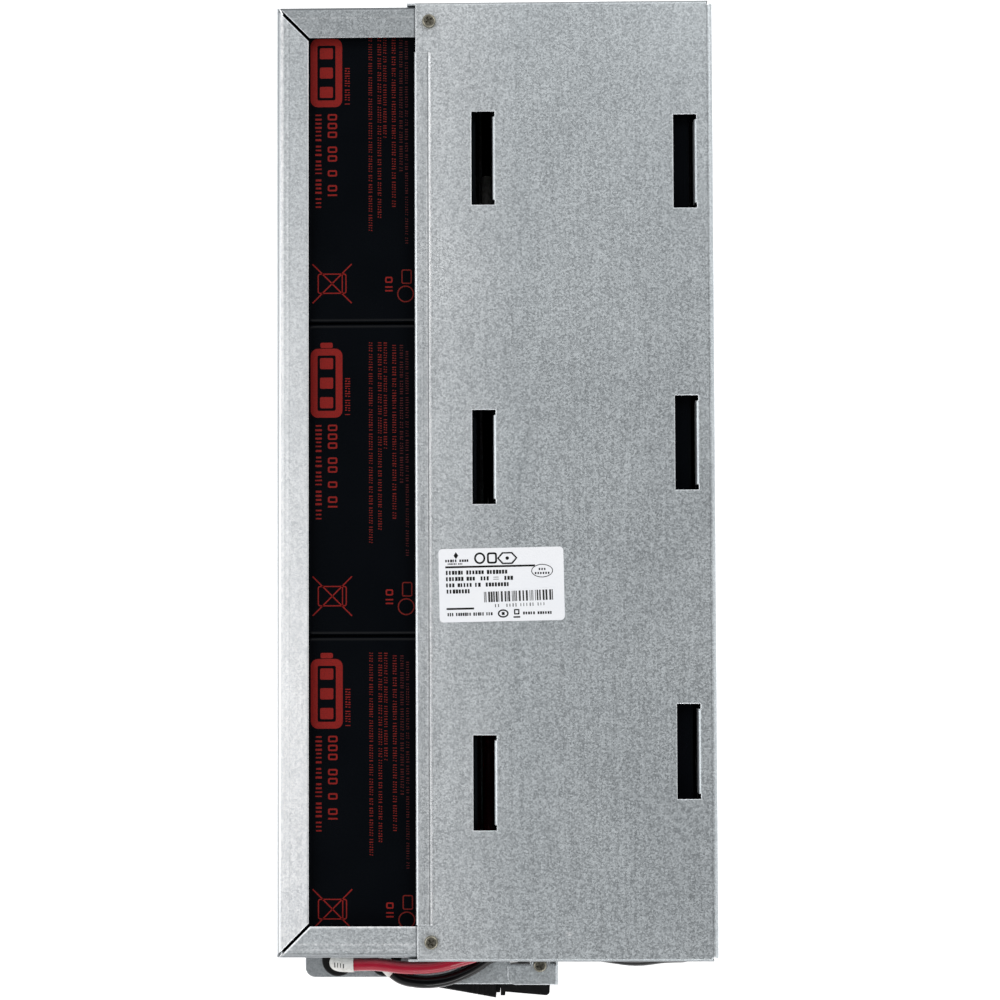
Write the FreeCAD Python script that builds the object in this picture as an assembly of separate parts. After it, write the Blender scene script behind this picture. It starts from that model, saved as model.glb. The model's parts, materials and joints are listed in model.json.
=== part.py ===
import FreeCAD, Part
import math
import os
from FreeCAD import Vector

# UPS battery cartridge: six sealed lead-acid blocks lie on their sides in a folded sheet tray.
# Millimetres. +X runs across the tray towards the covered side, +Y towards the rear end, +Z up.
# The origin is on the underside of the tray, midway across the cartridge and between the end walls.

# ---------------------------------------------------------------- driving dimensions
# Sheet metal
sheet = 1.0                     # thickness of the tray and the cover
bend_inside = 1.0               # inside radius of the tray's bends
past = 1.0                      # how far cutters and joining stubs run past a surface

# Battery blocks, 12 V and 9 Ah
block_length = 151.0            # along Y
block_height = 94.0             # along X, from the base to the lid
block_width = 65.0              # along Z, as the blocks lie
block_gap = 0.5                 # between neighbouring blocks in a row
blocks_per_row = 3
lid_height = 8.5
lid_inset = 0.35
edge_radius = 2.5
pocket_length = 16.0            # recess round each terminal, along Y
pocket_width = 13.0
pocket_depth = 4.0
terminal_from_end = 20.0
terminal_spacing = 38.0
blade_width = 6.35
blade_thickness = 0.8
blade_length = 10.0
blade_hole = 1.7
blade_hole_inset = 3.0          # from the blade's tip
blade_chamfer = 1.0
vent_cover_length = 88.0
vent_cover_width = 24.0
groove = 0.6

# Room round the blocks
left_slack = 1.1                # between the left wall and the first row's bases
centre_channel = 9.8            # wiring channel between the rows
right_channel = 8.8             # wiring channel beside the right wall
end_slack = 1.2                 # past each end block
headroom = 4.0                  # over the blocks, under the tray's top flange

# Tray
left_flange = 15.4
end_flange = 15.0
mitre_gap = 1.5
lap_tab = 11.0                  # tabs that join the walls at the corners
lap_tab_low = 24.0
lap_tab_drop = 11.0             # from the flange's top to the lap tabs
right_wall_drop = 1.5           # the right wall's top below the flange's top

# Cover
cover_side_gap = 0.3            # between the right wall and the cover
cover_end_gap = 0.7             # between the end walls and the cover
cover_lap = 28.6                # how far the cover reaches back over the first row
side_flange_depth = 25.0
end_flange_depth = 20.0
end_flange_ear = 4.4            # how far the end flanges run past the free edge
cover_bend_inside = 0.6         # at the end flanges and the tongues
side_bend_inside = 1.1          # at the side flange
hem_width = 7.4
hem_proud = 0.6                 # how far the hem's fold stands out past the free edge
hem_gap = 0.3
hem_front_inset = 17.6          # from the cover's front end to the hem
hem_rear_inset = 24.5
relief_hole = 0.7               # radius of the corner reliefs

# Lanced slots in the cover, with a tab bent down along each slot's right edge
slot_length = 45.4
slot_width = 11.3
left_slot_offsets = (5.6, 10.1, 3.2)    # from each pair of blocks' middle, along Y
right_slot_offsets = (20.4, 16.6, 1.1)
tab_depth = 10.5
tab_relief = 2.5
tab_bend_inside = 0.5
tab_reveal = 0.2                # from a tab's outer side to the slot's right edge
left_tab_gap = 0.4              # from the left tabs to the second row's bases
right_tab_gap = 2.0             # from the second row's lids to the right tabs

# Tongues on the cover's side flange that hook into the right wall, one at each pair of blocks
tongue_width = 20.0
tongue_start = 10.0             # depths below the cover's top
tongue_knee = 12.0
tongue_tip = 21.0
window_foot = 16.5
tongue_side_gap = 1.0
tongue_offset_gap = 0.1

# Screws and rivets
cover_screw_inset = (6.6, 9.4)  # from the cover's free edge, and from its ends
screw_head_radius = 3.3
screw_head_height = 2.2
screw_radius = 1.9
cover_screw_length = 4.4
screw_clearance = 0.15
recess_width = 0.9
recess_length = 3.6
recess_depth = 1.2
head_rounding = 0.45            # of a screw head's height
cover_screw_turn = 35.0         # degrees
clamp_screw_turn = 20.0
rivet_radius = 1.6
rivet_head_radius = 3.0
rivet_head_height = 0.9
rivet_clearance = 0.05
rivet_bulb_radius = 2.24
rivet_bulb_height = 0.6

# Connector shelf on the front end
shelf_sheet = 1.2
shelf_top = 25.0
shelf_inset = 9.1               # from the tray's left wall
shelf_past_dock = 1.9
shelf_reach = 16.6              # how far the shelf stands out of the wall at the left
shelf_step = 3.4                # extra reach of its right part
shelf_step_start = 64.4         # from the shelf's left end
shelf_step_run = 4.0
shelf_corner = 5.0
shelf_flange_low = 9.0
shelf_flange_bend = 1.0
rivet_insets = (28.0, 58.4, 97.4)       # from the shelf's left end
rivet_height = 14.5

# Leads, grommets and bushes
lead_diameter = 6.3
grommet_insets = (16.3, 39.7)   # from the shelf's left end
grommet_reach = 8.0             # from the wall to the grommets' axes
grommet_radius = 7.9
grommet_hole_radius = 5.4
grommet_lip = 0.35              # how far the lip under the shelf stands past the hole
grommet_top = 2.0
grommet_bottom = 1.6
grommet_rim = 0.7               # chamfer of its upper edges
lead_clearance = 0.3
bush_flange = 1.0
red_exit_offset = 1.7           # from the first row's lids to the red lead's hole
red_exit_height = 37.0
red_bush_radius = 6.2
red_bush_bore = 5.2             # wide, because the lead goes through at a slant
black_bush_radius = 4.3
black_bush_bore = 3.55
bush_rim = 1.3
bush_lip = 0.5
bush_chamfer = 0.5

# Power plug, its dock and the dock's clamp
plug_inset = 65.4               # from the shelf's left end
plug_reach = 18.4               # from the wall to the plug's axis
plug_room = 1.0                 # between the hood and the shelf
hood_length = 29.2
hood_narrow = 3.75              # half widths of the hood
hood_wide = 8.85
plug_height = 17.0
neck_length = 2.0               # collar between the hood and the nose
neck_half_width = 6.3
neck_height = 14.6
nose_length = 13.8              # with the collar
nose_half_width = 4.2
nose_height = 13.0
lead_stack = 6.7                # between the two leads' axes in the plug
plug_socket_depth = 9.0
hood_rounding = 1.2
grip_ribs = 5
rib_pitch = 2.4
first_rib = 3.0                 # from the hood's wide end
contact_end_gap = 1.5           # from a contact to the nose's face
contact_radius = 2.2
contact_clearance = 0.1
dock_gap = 2.4                  # from the hood to the dock
dock_length = 24.9
dock_lip = 2.2                  # length of the lip round its open end
dock_lip_half_width = 7.4
dock_open_half_width = 5.5      # the body widens from here
dock_half_width = 7.5
dock_draft = 0.7
dock_corner = 2.0
dock_clearance = 0.2
cavity_spare = 1.0              # past the plug's nose
dock_boss = 3.6                 # radius of the boss for the clamp's screw
clamp_sheet = 1.0
clamp_inset = 3.5               # from the dock's open end
clamp_foot_inset = 8.4
clamp_room = 0.7                # between the shelf's end and the clamp
clamp_back = 10.5               # from the wall
clamp_front = 20.2
clamp_corner = 4.0
clamp_bend_inside = 0.6
clamp_screw_inset = 5.3         # from the dock's closed end
clamp_screw_reach = 10.5
clamp_ear = 4.2
clamp_screw_length = 5.5
notch_inset = 4.8               # window behind the dock clamp, from the dock's open end
notch_front = 10.4
notch_back = 2.6
notch_screw_room = 5.0

# Jumpers between the blocks
jumper_diameter = 4.6
wire_offset = 3.9               # from a lid to the axes of the wires beside it
receptacle_width = 8.0
receptacle_thickness = 2.8
receptacle_depth = 6.4
blade_clearance = 0.05
barrel_radius = 2.8
barrel_end = 11.0               # from a blade's middle to the end of the crimp barrel
boot_gap = 0.3
boot_depth = 7.3
boot_back = 5.2
boot_half_height = 3.8
boot_clearance = 0.2
boot_corner = 1.0
crossing_offset = 32.5          # from the rear blocks' middle to the jumper that crosses over
crossing_radius = 5.5
bend_limit = 60.0               # largest radius in a cable
straight_end = 18.0             # straight run of a wire at a receptacle or a bush
jumper_bows = (1.2, 1.0, -0.6, -1.0)
marker_wall = 0.4
marker_clearance = 0.05
red_marker_span = (80.5, 96.5)      # along the lead, from the plug
black_marker_span = (51.0, 60.2)
jumper_marker_spans = ((57.0, 74.0), (72.0, 92.0))

# Labels on the cover
label_size = (60.0, 35.2)
label_offset = (-31.0, -51.2)   # from the middle of the cover
label_turn = 1.05               # degrees
label_corner = 2.0
label_thickness = 0.15
sticker_size = (40.0, 9.4)
sticker_offset = (6.65, -6.9)   # from the middle of the label
sticker_turn = 2.1
sticker_corner = 0.6
sticker_thickness = 0.1

# ---------------------------------------------------------------- sizes that follow
block_pitch = block_length + block_gap
block_floor = sheet
block_top = block_floor + block_width
flange_top = block_top + headroom + sheet
tray_width = (sheet + left_slack + block_height + centre_channel + block_height
              + right_channel + sheet)
overall_width = tray_width + cover_side_gap + sheet
tray_left = -overall_width / 2
tray_right = tray_left + tray_width
row_span = (blocks_per_row - 1) * block_pitch + block_length
tray_length = row_span + 2 * (end_slack + sheet)
front_wall = -tray_length / 2
bend_outside = bend_inside + sheet
lap_tab_high = flange_top - lap_tab_drop

first_lid = tray_left + sheet + left_slack + block_height
second_base = first_lid + centre_channel
second_lid = second_base + block_height
right_wires = second_lid + wire_offset
terminal_middle = block_floor + block_width / 2
upper_terminal = terminal_middle + terminal_spacing / 2
lower_terminal = terminal_middle - terminal_spacing / 2
block_centres = [(i - (blocks_per_row - 1) / 2) * block_pitch for i in range(blocks_per_row)]
terminal_shift = block_length / 2 - terminal_from_end

cover_right = overall_width / 2
cover_left = first_lid - cover_lap
cover_end = tray_length / 2 + cover_end_gap + sheet
cover_under = flange_top
cover_top = cover_under + sheet
cover_bend_outside = cover_bend_inside + sheet
side_bend_outside = side_bend_inside + sheet
label_centre = ((cover_left + cover_right) / 2 + label_offset[0], label_offset[1])

shelf_left = tray_left + shelf_inset
shelf_under = shelf_top - shelf_sheet
grommet_y = front_wall - grommet_reach
plug_left = shelf_left + plug_inset
plug_right = plug_left + hood_length
plug_nose_end = plug_right + nose_length
plug_axis_y = front_wall - plug_reach
plug_axis_z = shelf_under - plug_room - plug_height / 2
dock_left = plug_right + dock_gap
dock_right = dock_left + dock_length
dock_low = 2 * plug_axis_z - shelf_under
shelf_right = dock_right + shelf_past_dock
clamp_screw_x = dock_right - clamp_screw_inset
clamp_screw_y = front_wall - clamp_screw_reach
red_exit = (first_lid + red_exit_offset, red_exit_height)
black_exit = (right_wires, lower_terminal)


# ---------------------------------------------------------------- general shapes
def box(x0, x1, y0, y1, z0, z1):
    """A block between two corners."""
    return Part.makeBox(x1 - x0, y1 - y0, z1 - z0, Vector(x0, y0, z0))


def rod(start, direction, radius, length):
    """A round bar from a point along a direction."""
    return Part.makeCylinder(radius, length, Vector(*start), Vector(*direction))


def prism(points, lift):
    """A flat polygon extruded by a vector."""
    return Part.Face(Part.makePolygon([Vector(*p) for p in points + points[:1]])).extrude(Vector(*lift))


def rounded(shape, radius, chosen):
    """Fillet the edges that a test picks."""
    return shape.makeFillet(radius, [e for e in shape.Edges if chosen(e)])


def bevelled(shape, size, chosen):
    """Chamfer the edges that a test picks."""
    return shape.makeChamfer(size, [e for e in shape.Edges if chosen(e)])


def runs_along(edge, axis):
    """Whether a straight edge lies along X, Y or Z (axis 0, 1 or 2)."""
    if not isinstance(edge.Curve, Part.Line):
        return False
    direction = edge.Curve.Direction
    return abs(abs((direction.x, direction.y, direction.z)[axis]) - 1) < 1e-6


def filleted_path(points, radii):
    """Straight edges through points, with an arc of the given radius at each inner point."""
    points = [Vector(*p) for p in points]
    edges = []
    start = points[0]
    for before, corner, after, radius in zip(points, points[1:], points[2:], radii):
        into = (corner - before).normalize()
        out = (after - corner).normalize()
        turn = into.getAngle(out)
        cut = radius * math.tan(turn / 2)
        first = corner - into * cut
        last = corner + out * cut
        inward = (out - into).normalize()
        middle = corner + inward * (radius / math.cos(turn / 2) - radius)
        if (first - start).Length > 1e-6:
            edges.append(Part.LineSegment(start, first).toShape())
        edges.append(Part.Arc(first, middle, last).toShape())
        start = last
    if (points[-1] - start).Length > 1e-6:
        edges.append(Part.LineSegment(start, points[-1]).toShape())
    return edges


def shifted_path(points, distance):
    """A flat open path moved sideways to the right of its direction, with mitred corners."""
    result = []
    for i, (a, b) in enumerate(points):
        sides = []
        for (p, q) in ((i - 1, i), (i, i + 1)):
            if p >= 0 and q < len(points):
                along = (points[q][0] - points[p][0], points[q][1] - points[p][1])
                size = math.hypot(*along)
                sides.append((along[1] / size, -along[0] / size))
        normal = (sum(s[0] for s in sides), sum(s[1] for s in sides))
        scale = distance / (normal[0] * sides[0][0] + normal[1] * sides[0][1])
        result.append((a + normal[0] * scale, b + normal[1] * scale))
    return result


def folded(points, thickness, inside, place, lift):
    """Folded sheet: a flat path is one surface and the sheet lies to the right of it.

    place turns the path's two numbers into a point, and lift is the extrusion.
    """
    other = shifted_path(points, thickness)
    near, far = [], []
    for a, b, c in zip(points, points[1:], points[2:]):
        cross = (b[0] - a[0]) * (c[1] - b[1]) - (b[1] - a[1]) * (c[0] - b[0])
        right_turn = cross < 0
        near.append(inside + thickness if right_turn else inside)
        far.append(inside if right_turn else inside + thickness)
    # on a right turn the given surface is the outside of the bend
    first = filleted_path([place(*p) for p in points], near)
    second = filleted_path([place(*p) for p in other], far)
    ends = [Part.LineSegment(Vector(*place(*points[i])), Vector(*place(*other[i]))).toShape()
            for i in (0, -1)]
    wire = Part.Wire(Part.__sortEdges__(first + second + ends))
    return Part.Face(wire).extrude(Vector(*lift))


def cable_radii(points, limit):
    """The largest arcs that the runs on both sides of each corner allow."""
    points = [Vector(*p) for p in points]
    radii = []
    for before, corner, after in zip(points, points[1:], points[2:]):
        turn = (corner - before).getAngle(after - corner)
        shorter = min((corner - before).Length, (after - corner).Length)
        radii.append(min(limit, 0.45 * shorter / math.tan(turn / 2)))
    return radii


def swept(edges, radius):
    """A round bar along a path of tangent edges: cylinders on its runs and tori on its bends."""
    pieces = []
    for edge in edges:
        start = edge.valueAt(edge.FirstParameter)
        direction = edge.tangentAt(edge.FirstParameter)
        profile = Part.Face(Part.Wire(Part.makeCircle(radius, start, direction)))
        if isinstance(edge.Curve, Part.Line):
            pieces.append(profile.extrude(edge.valueAt(edge.LastParameter) - start))
        else:
            arc = edge.Curve
            turn = math.degrees(edge.Length / arc.Radius)
            axis = (start - arc.Center).cross(direction)
            pieces.append(profile.revolve(arc.Center, axis, turn))
    return pieces[0].fuse(pieces[1:]).removeSplitter()


def cable(name, points, diameter, limit=bend_limit):
    """A lead along its route, with its volume checked against its length."""
    radii = cable_radii(points, limit)
    edges = filleted_path(points, radii)
    solid = swept(edges, diameter / 2)
    length = sum(e.Length for e in edges)
    expected = math.pi * diameter ** 2 / 4 * length
    print(name, "length %.0f" % length, "volume ratio %.4f" % (solid.Volume / expected),
          "radii", ["%.1f" % r for r in radii])
    return solid


def stretch(points, start, end, limit=bend_limit):
    """The part of a cable's path between two distances along it."""
    kept = []
    position = 0.0
    for edge in filleted_path(points, cable_radii(points, limit)):
        low = max(start - position, 0.0)
        high = min(end - position, edge.Length)
        if high - low > 1e-4:
            first = edge.getParameterByLength(low)
            last = edge.getParameterByLength(high)
            kept.append(Part.Edge(edge.Curve, first, last))
        position += edge.Length
    return kept


def marker(points, span, diameter):
    """A sleeve round a stretch of cable."""
    inner = diameter / 2 + marker_clearance
    edges = stretch(points, *span)
    return swept(edges, inner + marker_wall).cut(swept(edges, inner))


def pan_screw(length):
    """A cross-recessed pan head screw, head up, with the underside of its head at the origin."""
    head = rod((0, 0, 0), (0, 0, 1), screw_head_radius, screw_head_height)
    head = rounded(head, head_rounding * screw_head_height,
                   lambda e: e.BoundBox.ZMin > screw_head_height - 1e-6)
    shank = rod((0, 0, -length), (0, 0, 1), screw_radius, length)
    half = recess_length / 2
    thin = recess_width / 2
    low = screw_head_height - recess_depth
    cross = box(-half, half, -thin, thin, low, screw_head_height + past)
    cross = cross.fuse(box(-thin, thin, -half, half, low, screw_head_height + past))
    return head.fuse(shank).cut(cross).removeSplitter()


# ---------------------------------------------------------------- tray
def mitre_cutters(edge_sign):
    """Wedges that trim the left flange and one end flange to a mitre with a gap between them."""
    half = mitre_gap / math.sqrt(2)
    reach = left_flange + end_flange
    low = flange_top - bend_outside
    end = edge_sign * tray_length / 2
    corner = (tray_left, end)
    inner = (tray_left + reach, end - edge_sign * reach)
    beyond_end = (tray_left, end + edge_sign * reach)
    beyond_side = (tray_left - reach, end)
    # the wedge past the diagonal, towards the end, trims the left flange
    towards_end = [corner, inner, (inner[0], beyond_end[1]), (beyond_side[0], beyond_end[1]), beyond_side]
    side_cut = [(x, y - edge_sign * half, low) for x, y in towards_end]
    # the wedge on the other side of the diagonal trims the end flange
    towards_side = [corner, inner, (beyond_side[0], inner[1]), beyond_side]
    end_cut = [(x, y + edge_sign * half, low) for x, y in towards_side]
    lift = (0, 0, bend_outside + past)
    return prism(side_cut, lift), prism(end_cut, lift)


def side_walls():
    """Left wall with its return flange, the floor and the right wall, folded from one strip."""
    path = [(tray_right, flange_top - right_wall_drop), (tray_right, 0.0), (tray_left, 0.0),
            (tray_left, flange_top), (tray_left + left_flange, flange_top)]
    floor_end = tray_length / 2 - bend_outside
    strip = folded(path, sheet, bend_inside, lambda a, b: (a, -tray_length / 2, b), (0, tray_length, 0))
    # the floor's bends stop at the end bends, and the walls above them run to the corners
    for sign in (-1, 1):
        near, far = sorted((sign * floor_end, sign * (tray_length / 2 + past)))
        strip = strip.cut(box(tray_left - past, tray_right + past, near, far, -past, bend_outside))
        strip = strip.cut(mitre_cutters(sign)[0])
    return strip


def end_wall(sign):
    """One end wall with its return flange and the lap tabs that join it to the side walls."""
    end = sign * tray_length / 2
    inner = end - sign * end_flange
    path = [(inner, flange_top), (end, flange_top), (end, 0.0), (0.0, 0.0)]
    # the return flange alone runs on over the left wall's top, up to the mitre
    flange_path = [(inner, flange_top), (end, flange_top), (end, flange_top - bend_outside)]
    if sign < 0:
        path.reverse()
        flange_path.reverse()
    x_low = tray_left + bend_outside
    x_high = tray_right - bend_outside
    wall = folded(path, sheet, bend_inside, lambda a, b: (x_low, a, b), (x_high - x_low, 0, 0))
    corner = folded(flange_path, sheet, bend_inside, lambda a, b: (tray_left, a, b),
                    (bend_outside + past, 0, 0))
    wall = wall.fuse(corner).cut(mitre_cutters(sign)[1])
    return wall.fuse(lap_tabs(sign))


def lap_tabs(sign):
    """Tabs folded back from an end wall against the inside of the side walls."""
    end = sign * tray_length / 2
    tabs = None
    for side, wall_inner in ((-1, tray_left + sheet), (1, tray_right - sheet)):
        middle = wall_inner - side * (lap_tab + bend_outside)
        path = [(middle, end), (wall_inner, end), (wall_inner, end - sign * (lap_tab + bend_outside))]
        if side * sign > 0:
            turned = path
        else:
            turned = path[::-1]
        tab = folded(turned, sheet, bend_inside, lambda a, b: (a, b, lap_tab_low),
                     (0, 0, lap_tab_high - lap_tab_low))
        tabs = tab if tabs is None else tabs.fuse(tab)
    return tabs


def battery_tray():
    """The tray: a floor, four walls and top flanges folded from one sheet."""
    tray = side_walls().fuse(end_wall(-1)).fuse(end_wall(1))
    half = tongue_width / 2 + tongue_side_gap
    cuts = [box(tray_right - sheet - past, tray_right + past, y - half, y + half, cover_top - window_foot,
                cover_top - tongue_start - tongue_side_gap)
            for y in block_centres]
    cuts += [rod((x, y, flange_top - sheet - past), (0, 0, 1), screw_radius + screw_clearance,
                 sheet + 2 * past) for x, y in cover_screw_places()]
    holes = [((shelf_left + inset, rivet_height), rivet_radius + rivet_clearance) for inset in rivet_insets]
    holes += [(red_exit, red_bush_radius), (black_exit, black_bush_radius)]
    for (x, z), radius in holes:
        cuts.append(rod((x, front_wall - past, z), (0, 1, 0), radius, sheet + 2 * past))
    return tray.cut(cuts).removeSplitter()


# ---------------------------------------------------------------- cover
def cover_screw_places():
    """The two screws through the free corners of the cover."""
    x = cover_left + cover_screw_inset[0]
    y = cover_end - cover_screw_inset[1]
    return [(x, -y), (x, y)]


def cover_plate():
    """The flat of the cover with its side flange and hem, folded from one strip."""
    side_path = [(cover_left, cover_top), (cover_right, cover_top),
                 (cover_right, cover_top - side_flange_depth)]
    half = cover_end - cover_bend_outside
    plate = folded(side_path, sheet, side_bend_inside, lambda a, b: (a, -half, b), (0, 2 * half, 0))
    return plate.fuse(cover_hem())


def cover_hem():
    """The edge strip folded over on top of the cover."""
    front = -cover_end + hem_front_inset
    rear = cover_end - hem_rear_inset
    fold_radius = sheet + hem_gap / 2
    middle = cover_top + hem_gap / 2
    fold_left = cover_left - hem_proud
    fold = fold_left + fold_radius
    root = cover_left + hem_width
    tip = fold_left + hem_width
    crest = middle + fold_radius

    def at(x, z):
        return Vector(x, front, z)

    edges = [
        Part.LineSegment(at(root, cover_under), at(fold, cover_under)),
        Part.Arc(at(fold, cover_under), at(fold_left, middle), at(fold, crest)),
        Part.LineSegment(at(fold, crest), at(tip, crest)),
        Part.LineSegment(at(tip, crest), at(tip, crest - sheet)),
        Part.LineSegment(at(tip, crest - sheet), at(fold, crest - sheet)),
        Part.Arc(at(fold, crest - sheet), at(fold - hem_gap / 2, middle), at(fold, cover_top)),
        Part.LineSegment(at(fold, cover_top), at(root, cover_top)),
        Part.LineSegment(at(root, cover_top), at(root, cover_under)),
    ]
    wire = Part.Wire([e.toShape() for e in edges])
    return Part.Face(wire).extrude(Vector(0, rear - front, 0))


def cover_end_flange(sign):
    """An end flange, which runs a little past the cover's free edge."""
    end = sign * cover_end
    path = [(end - sign * (cover_bend_outside + past), cover_top), (end, cover_top),
            (end, cover_top - end_flange_depth)]
    if sign < 0:
        path.reverse()
    width = cover_right - side_bend_outside - cover_left
    flange = folded(path, sheet, cover_bend_inside, lambda a, b: (cover_left, a, b), (width, 0, 0))
    y0, y1 = sorted((end, end - sign * sheet))
    ear = box(cover_left - end_flange_ear, cover_left + past, y0, y1, cover_top - end_flange_depth,
              cover_top - cover_bend_outside)
    return flange.fuse(ear)


def slot_places():
    """Each slot's tab face in X and its middle in Y."""
    left_face = second_base - left_tab_gap - sheet
    right_face = second_lid + right_tab_gap
    places = [(left_face, y + offset) for y, offset in zip(block_centres, left_slot_offsets)]
    return places + [(right_face, y + offset) for y, offset in zip(block_centres, right_slot_offsets)]


def slot_cut(face, centre):
    """The opening of a lanced slot, cut wider along its tab to take the tab's bend."""
    right = face + sheet + tab_reveal
    low, high = cover_under - past, cover_top + past
    half = slot_length / 2
    slot = box(right - slot_width, right, centre - half, centre + half, low, high)
    half -= tab_relief
    return slot.fuse(box(face, face + sheet + tab_bend_inside, centre - half, centre + half, low, high))


def lanced_tab(face, centre):
    """The tab left standing down along the right edge of a lanced slot."""
    half = slot_length / 2 - tab_relief
    root = face + sheet + tab_bend_inside + past
    path = [(face, cover_top - tab_depth), (face, cover_top), (root, cover_top)]
    return folded(path, sheet, tab_bend_inside, lambda a, b: (a, centre - half, b), (0, 2 * half, 0))


def hook_tongue(centre):
    """A tongue that steps in from the side flange and hooks behind the right wall."""
    behind = tray_right - sheet - tongue_offset_gap
    knee = cover_top - tongue_knee
    path = [(cover_right, cover_top - tongue_start), (cover_right, knee),
            (behind, knee - (cover_right - behind)), (behind, cover_top - tongue_tip)]
    return folded(path, sheet, cover_bend_inside, lambda a, b: (a, centre - tongue_width / 2, b),
                  (0, tongue_width, 0))


def top_cover():
    """The part-width cover, with a hemmed edge, three flanges, lanced tabs and hook tongues."""
    cover = cover_plate().fuse(cover_end_flange(-1)).fuse(cover_end_flange(1))
    cuts = [slot_cut(face, y) for face, y in slot_places()]
    tabs = [lanced_tab(face, y) for face, y in slot_places()]
    half = tongue_width / 2 + tongue_side_gap
    for y in block_centres:
        cuts.append(box(cover_right - sheet - past, cover_right + past, y - half, y + half,
                        cover_top - tongue_tip - tongue_side_gap, cover_top - tongue_start - tongue_side_gap))
        tabs.append(hook_tongue(y))
    cuts += [rod((x, y, cover_under - past), (0, 0, 1), screw_radius + screw_clearance, sheet + 2 * past)
             for x, y in cover_screw_places()]
    corner_x, corner_y = cover_right - side_bend_outside, cover_end - cover_bend_outside
    cuts += [rod((corner_x, y, cover_under - past), (0, 0, 1), relief_hole, sheet + 2 * past)
             for y in (-corner_y, corner_y)]
    return cover.cut(cuts).fuse(tabs).removeSplitter()


# ---------------------------------------------------------------- battery blocks
def battery_block():
    """A sealed block with its base at X = 0, its lid towards +X and its terminals near the +Y end."""
    half_length = block_length / 2
    half_width = block_width / 2
    seam = block_height - lid_height
    case = box(0, seam, -half_length, half_length, -half_width, half_width)
    case = rounded(case, edge_radius, lambda e: runs_along(e, 0))
    lid = box(seam, block_height, -half_length + lid_inset, half_length - lid_inset,
              -half_width + lid_inset, half_width - lid_inset)
    lid = rounded(lid, edge_radius, lambda e: runs_along(e, 0))
    lid = bevelled(lid, edge_radius / 2, lambda e: e.BoundBox.XMin > block_height - 1e-6)
    block = case.fuse(lid)
    for z in (-terminal_spacing / 2, terminal_spacing / 2):
        y = half_length - terminal_from_end
        block = block.cut(box(block_height - pocket_depth, block_height + past, y - pocket_length / 2,
                              y + pocket_length / 2, z - pocket_width / 2, z + pocket_width / 2))
    # a groove outlines the strip that covers the vents
    low, high = block_height - groove, block_height + past
    half_y, half_z = vent_cover_length / 2, vent_cover_width / 2
    ring = box(low, high, -half_y - groove, half_y + groove, -half_z - groove, half_z + groove)
    ring = ring.cut(box(low, high, -half_y, half_y, -half_z, half_z))
    ring.translate(Vector(0, -terminal_from_end, 0))
    return block.cut(ring)


def terminal_blades():
    """The two tab terminals of a block, standing in the pockets of its lid."""
    y = block_length / 2 - terminal_from_end
    start = block_height - pocket_depth
    half = blade_width / 2
    blades = []
    for z in (-terminal_spacing / 2, terminal_spacing / 2):
        blade = box(start, start + blade_length, y - half, y + half, z - blade_thickness / 2,
                    z + blade_thickness / 2)
        blade = bevelled(blade, blade_chamfer, lambda e: runs_along(e, 2)
                         and e.BoundBox.XMin > start + blade_length - 1e-6)
        hole = rod((start + blade_length - blade_hole_inset, y, z - past), (0, 0, 1), blade_hole / 2,
                   2 * past)
        blades.append(blade.cut(hole))
    return Part.makeCompound(blades)


def place_block(shape, row, centre):
    """Put a block's shape in its row: the second row is turned over end for end."""
    placed = shape.copy()
    if row == 1:
        placed.rotate(Vector(0, 0, 0), Vector(1, 0, 0), 180)
    placed.translate(Vector((first_lid, second_lid)[row] - block_height, centre, terminal_middle))
    return placed


# ---------------------------------------------------------------- wiring inside the tray
def terminal_place(row, block, level):
    """X of the lid, Y and Z of a terminal. Blocks count from the front; level is 'upper' or 'lower'."""
    lid = (first_lid, second_lid)[row]
    shift = terminal_shift if row == 0 else -terminal_shift
    height = upper_terminal if level == "upper" else lower_terminal
    return lid, block_centres[block] + shift, height


def receptacle():
    """A flag receptacle on a blade: its sleeve grips the blade and its barrel points along +Y."""
    sleeve = box(boot_gap, boot_gap + receptacle_depth, -receptacle_width / 2, receptacle_width / 2,
                 -receptacle_thickness / 2, receptacle_thickness / 2)
    barrel = rod((wire_offset, receptacle_width / 2 - past, 0), (0, 1, 0), barrel_radius,
                 barrel_end - receptacle_width / 2 + past)
    gap_y = blade_width / 2 + blade_clearance
    gap_z = blade_thickness / 2 + blade_clearance
    slit = box(-past, boot_gap + receptacle_depth + past, -gap_y, gap_y, -gap_z, gap_z)
    return sleeve.fuse(barrel).cut(slit).removeSplitter()


def boot():
    """The insulating boot over a receptacle, open towards the lid and at the wire's end."""
    outer = box(boot_gap, boot_gap + boot_depth, -boot_back, barrel_end, -boot_half_height, boot_half_height)
    outer = bevelled(outer, boot_corner, lambda e: runs_along(e, 1))
    spare = boot_clearance
    half_y = receptacle_width / 2 + spare
    half_z = receptacle_thickness / 2 + spare
    room = box(boot_gap - past, boot_gap + receptacle_depth + spare, -half_y, half_y, -half_z, half_z)
    bore = rod((wire_offset, receptacle_width / 2 - past - spare, 0), (0, 1, 0), barrel_radius + spare,
               barrel_end)
    return outer.cut(room).cut(bore)


def wire_ends():
    """Row, block, level and the way that the wire leaves along Y, for every terminal."""
    last = blocks_per_row - 1
    ends = []
    for block in range(blocks_per_row):
        ends.append((0, block, "lower", -1))
        ends.append((0, block, "upper", -1 if block == last else 1))
        ends.append((1, block, "upper", 1))
        ends.append((1, block, "lower", -1))
    return ends


def at_every_terminal(shape):
    """Copies of a receptacle or boot at every terminal."""
    copies = []
    for row, block, level, direction in wire_ends():
        copy = shape.copy()
        if direction < 0:
            copy.rotate(Vector(0, 0, 0), Vector(1, 0, 0), 180)
        copy.translate(Vector(*terminal_place(row, block, level)))
        copies.append(copy)
    return Part.makeCompound(copies)


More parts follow.
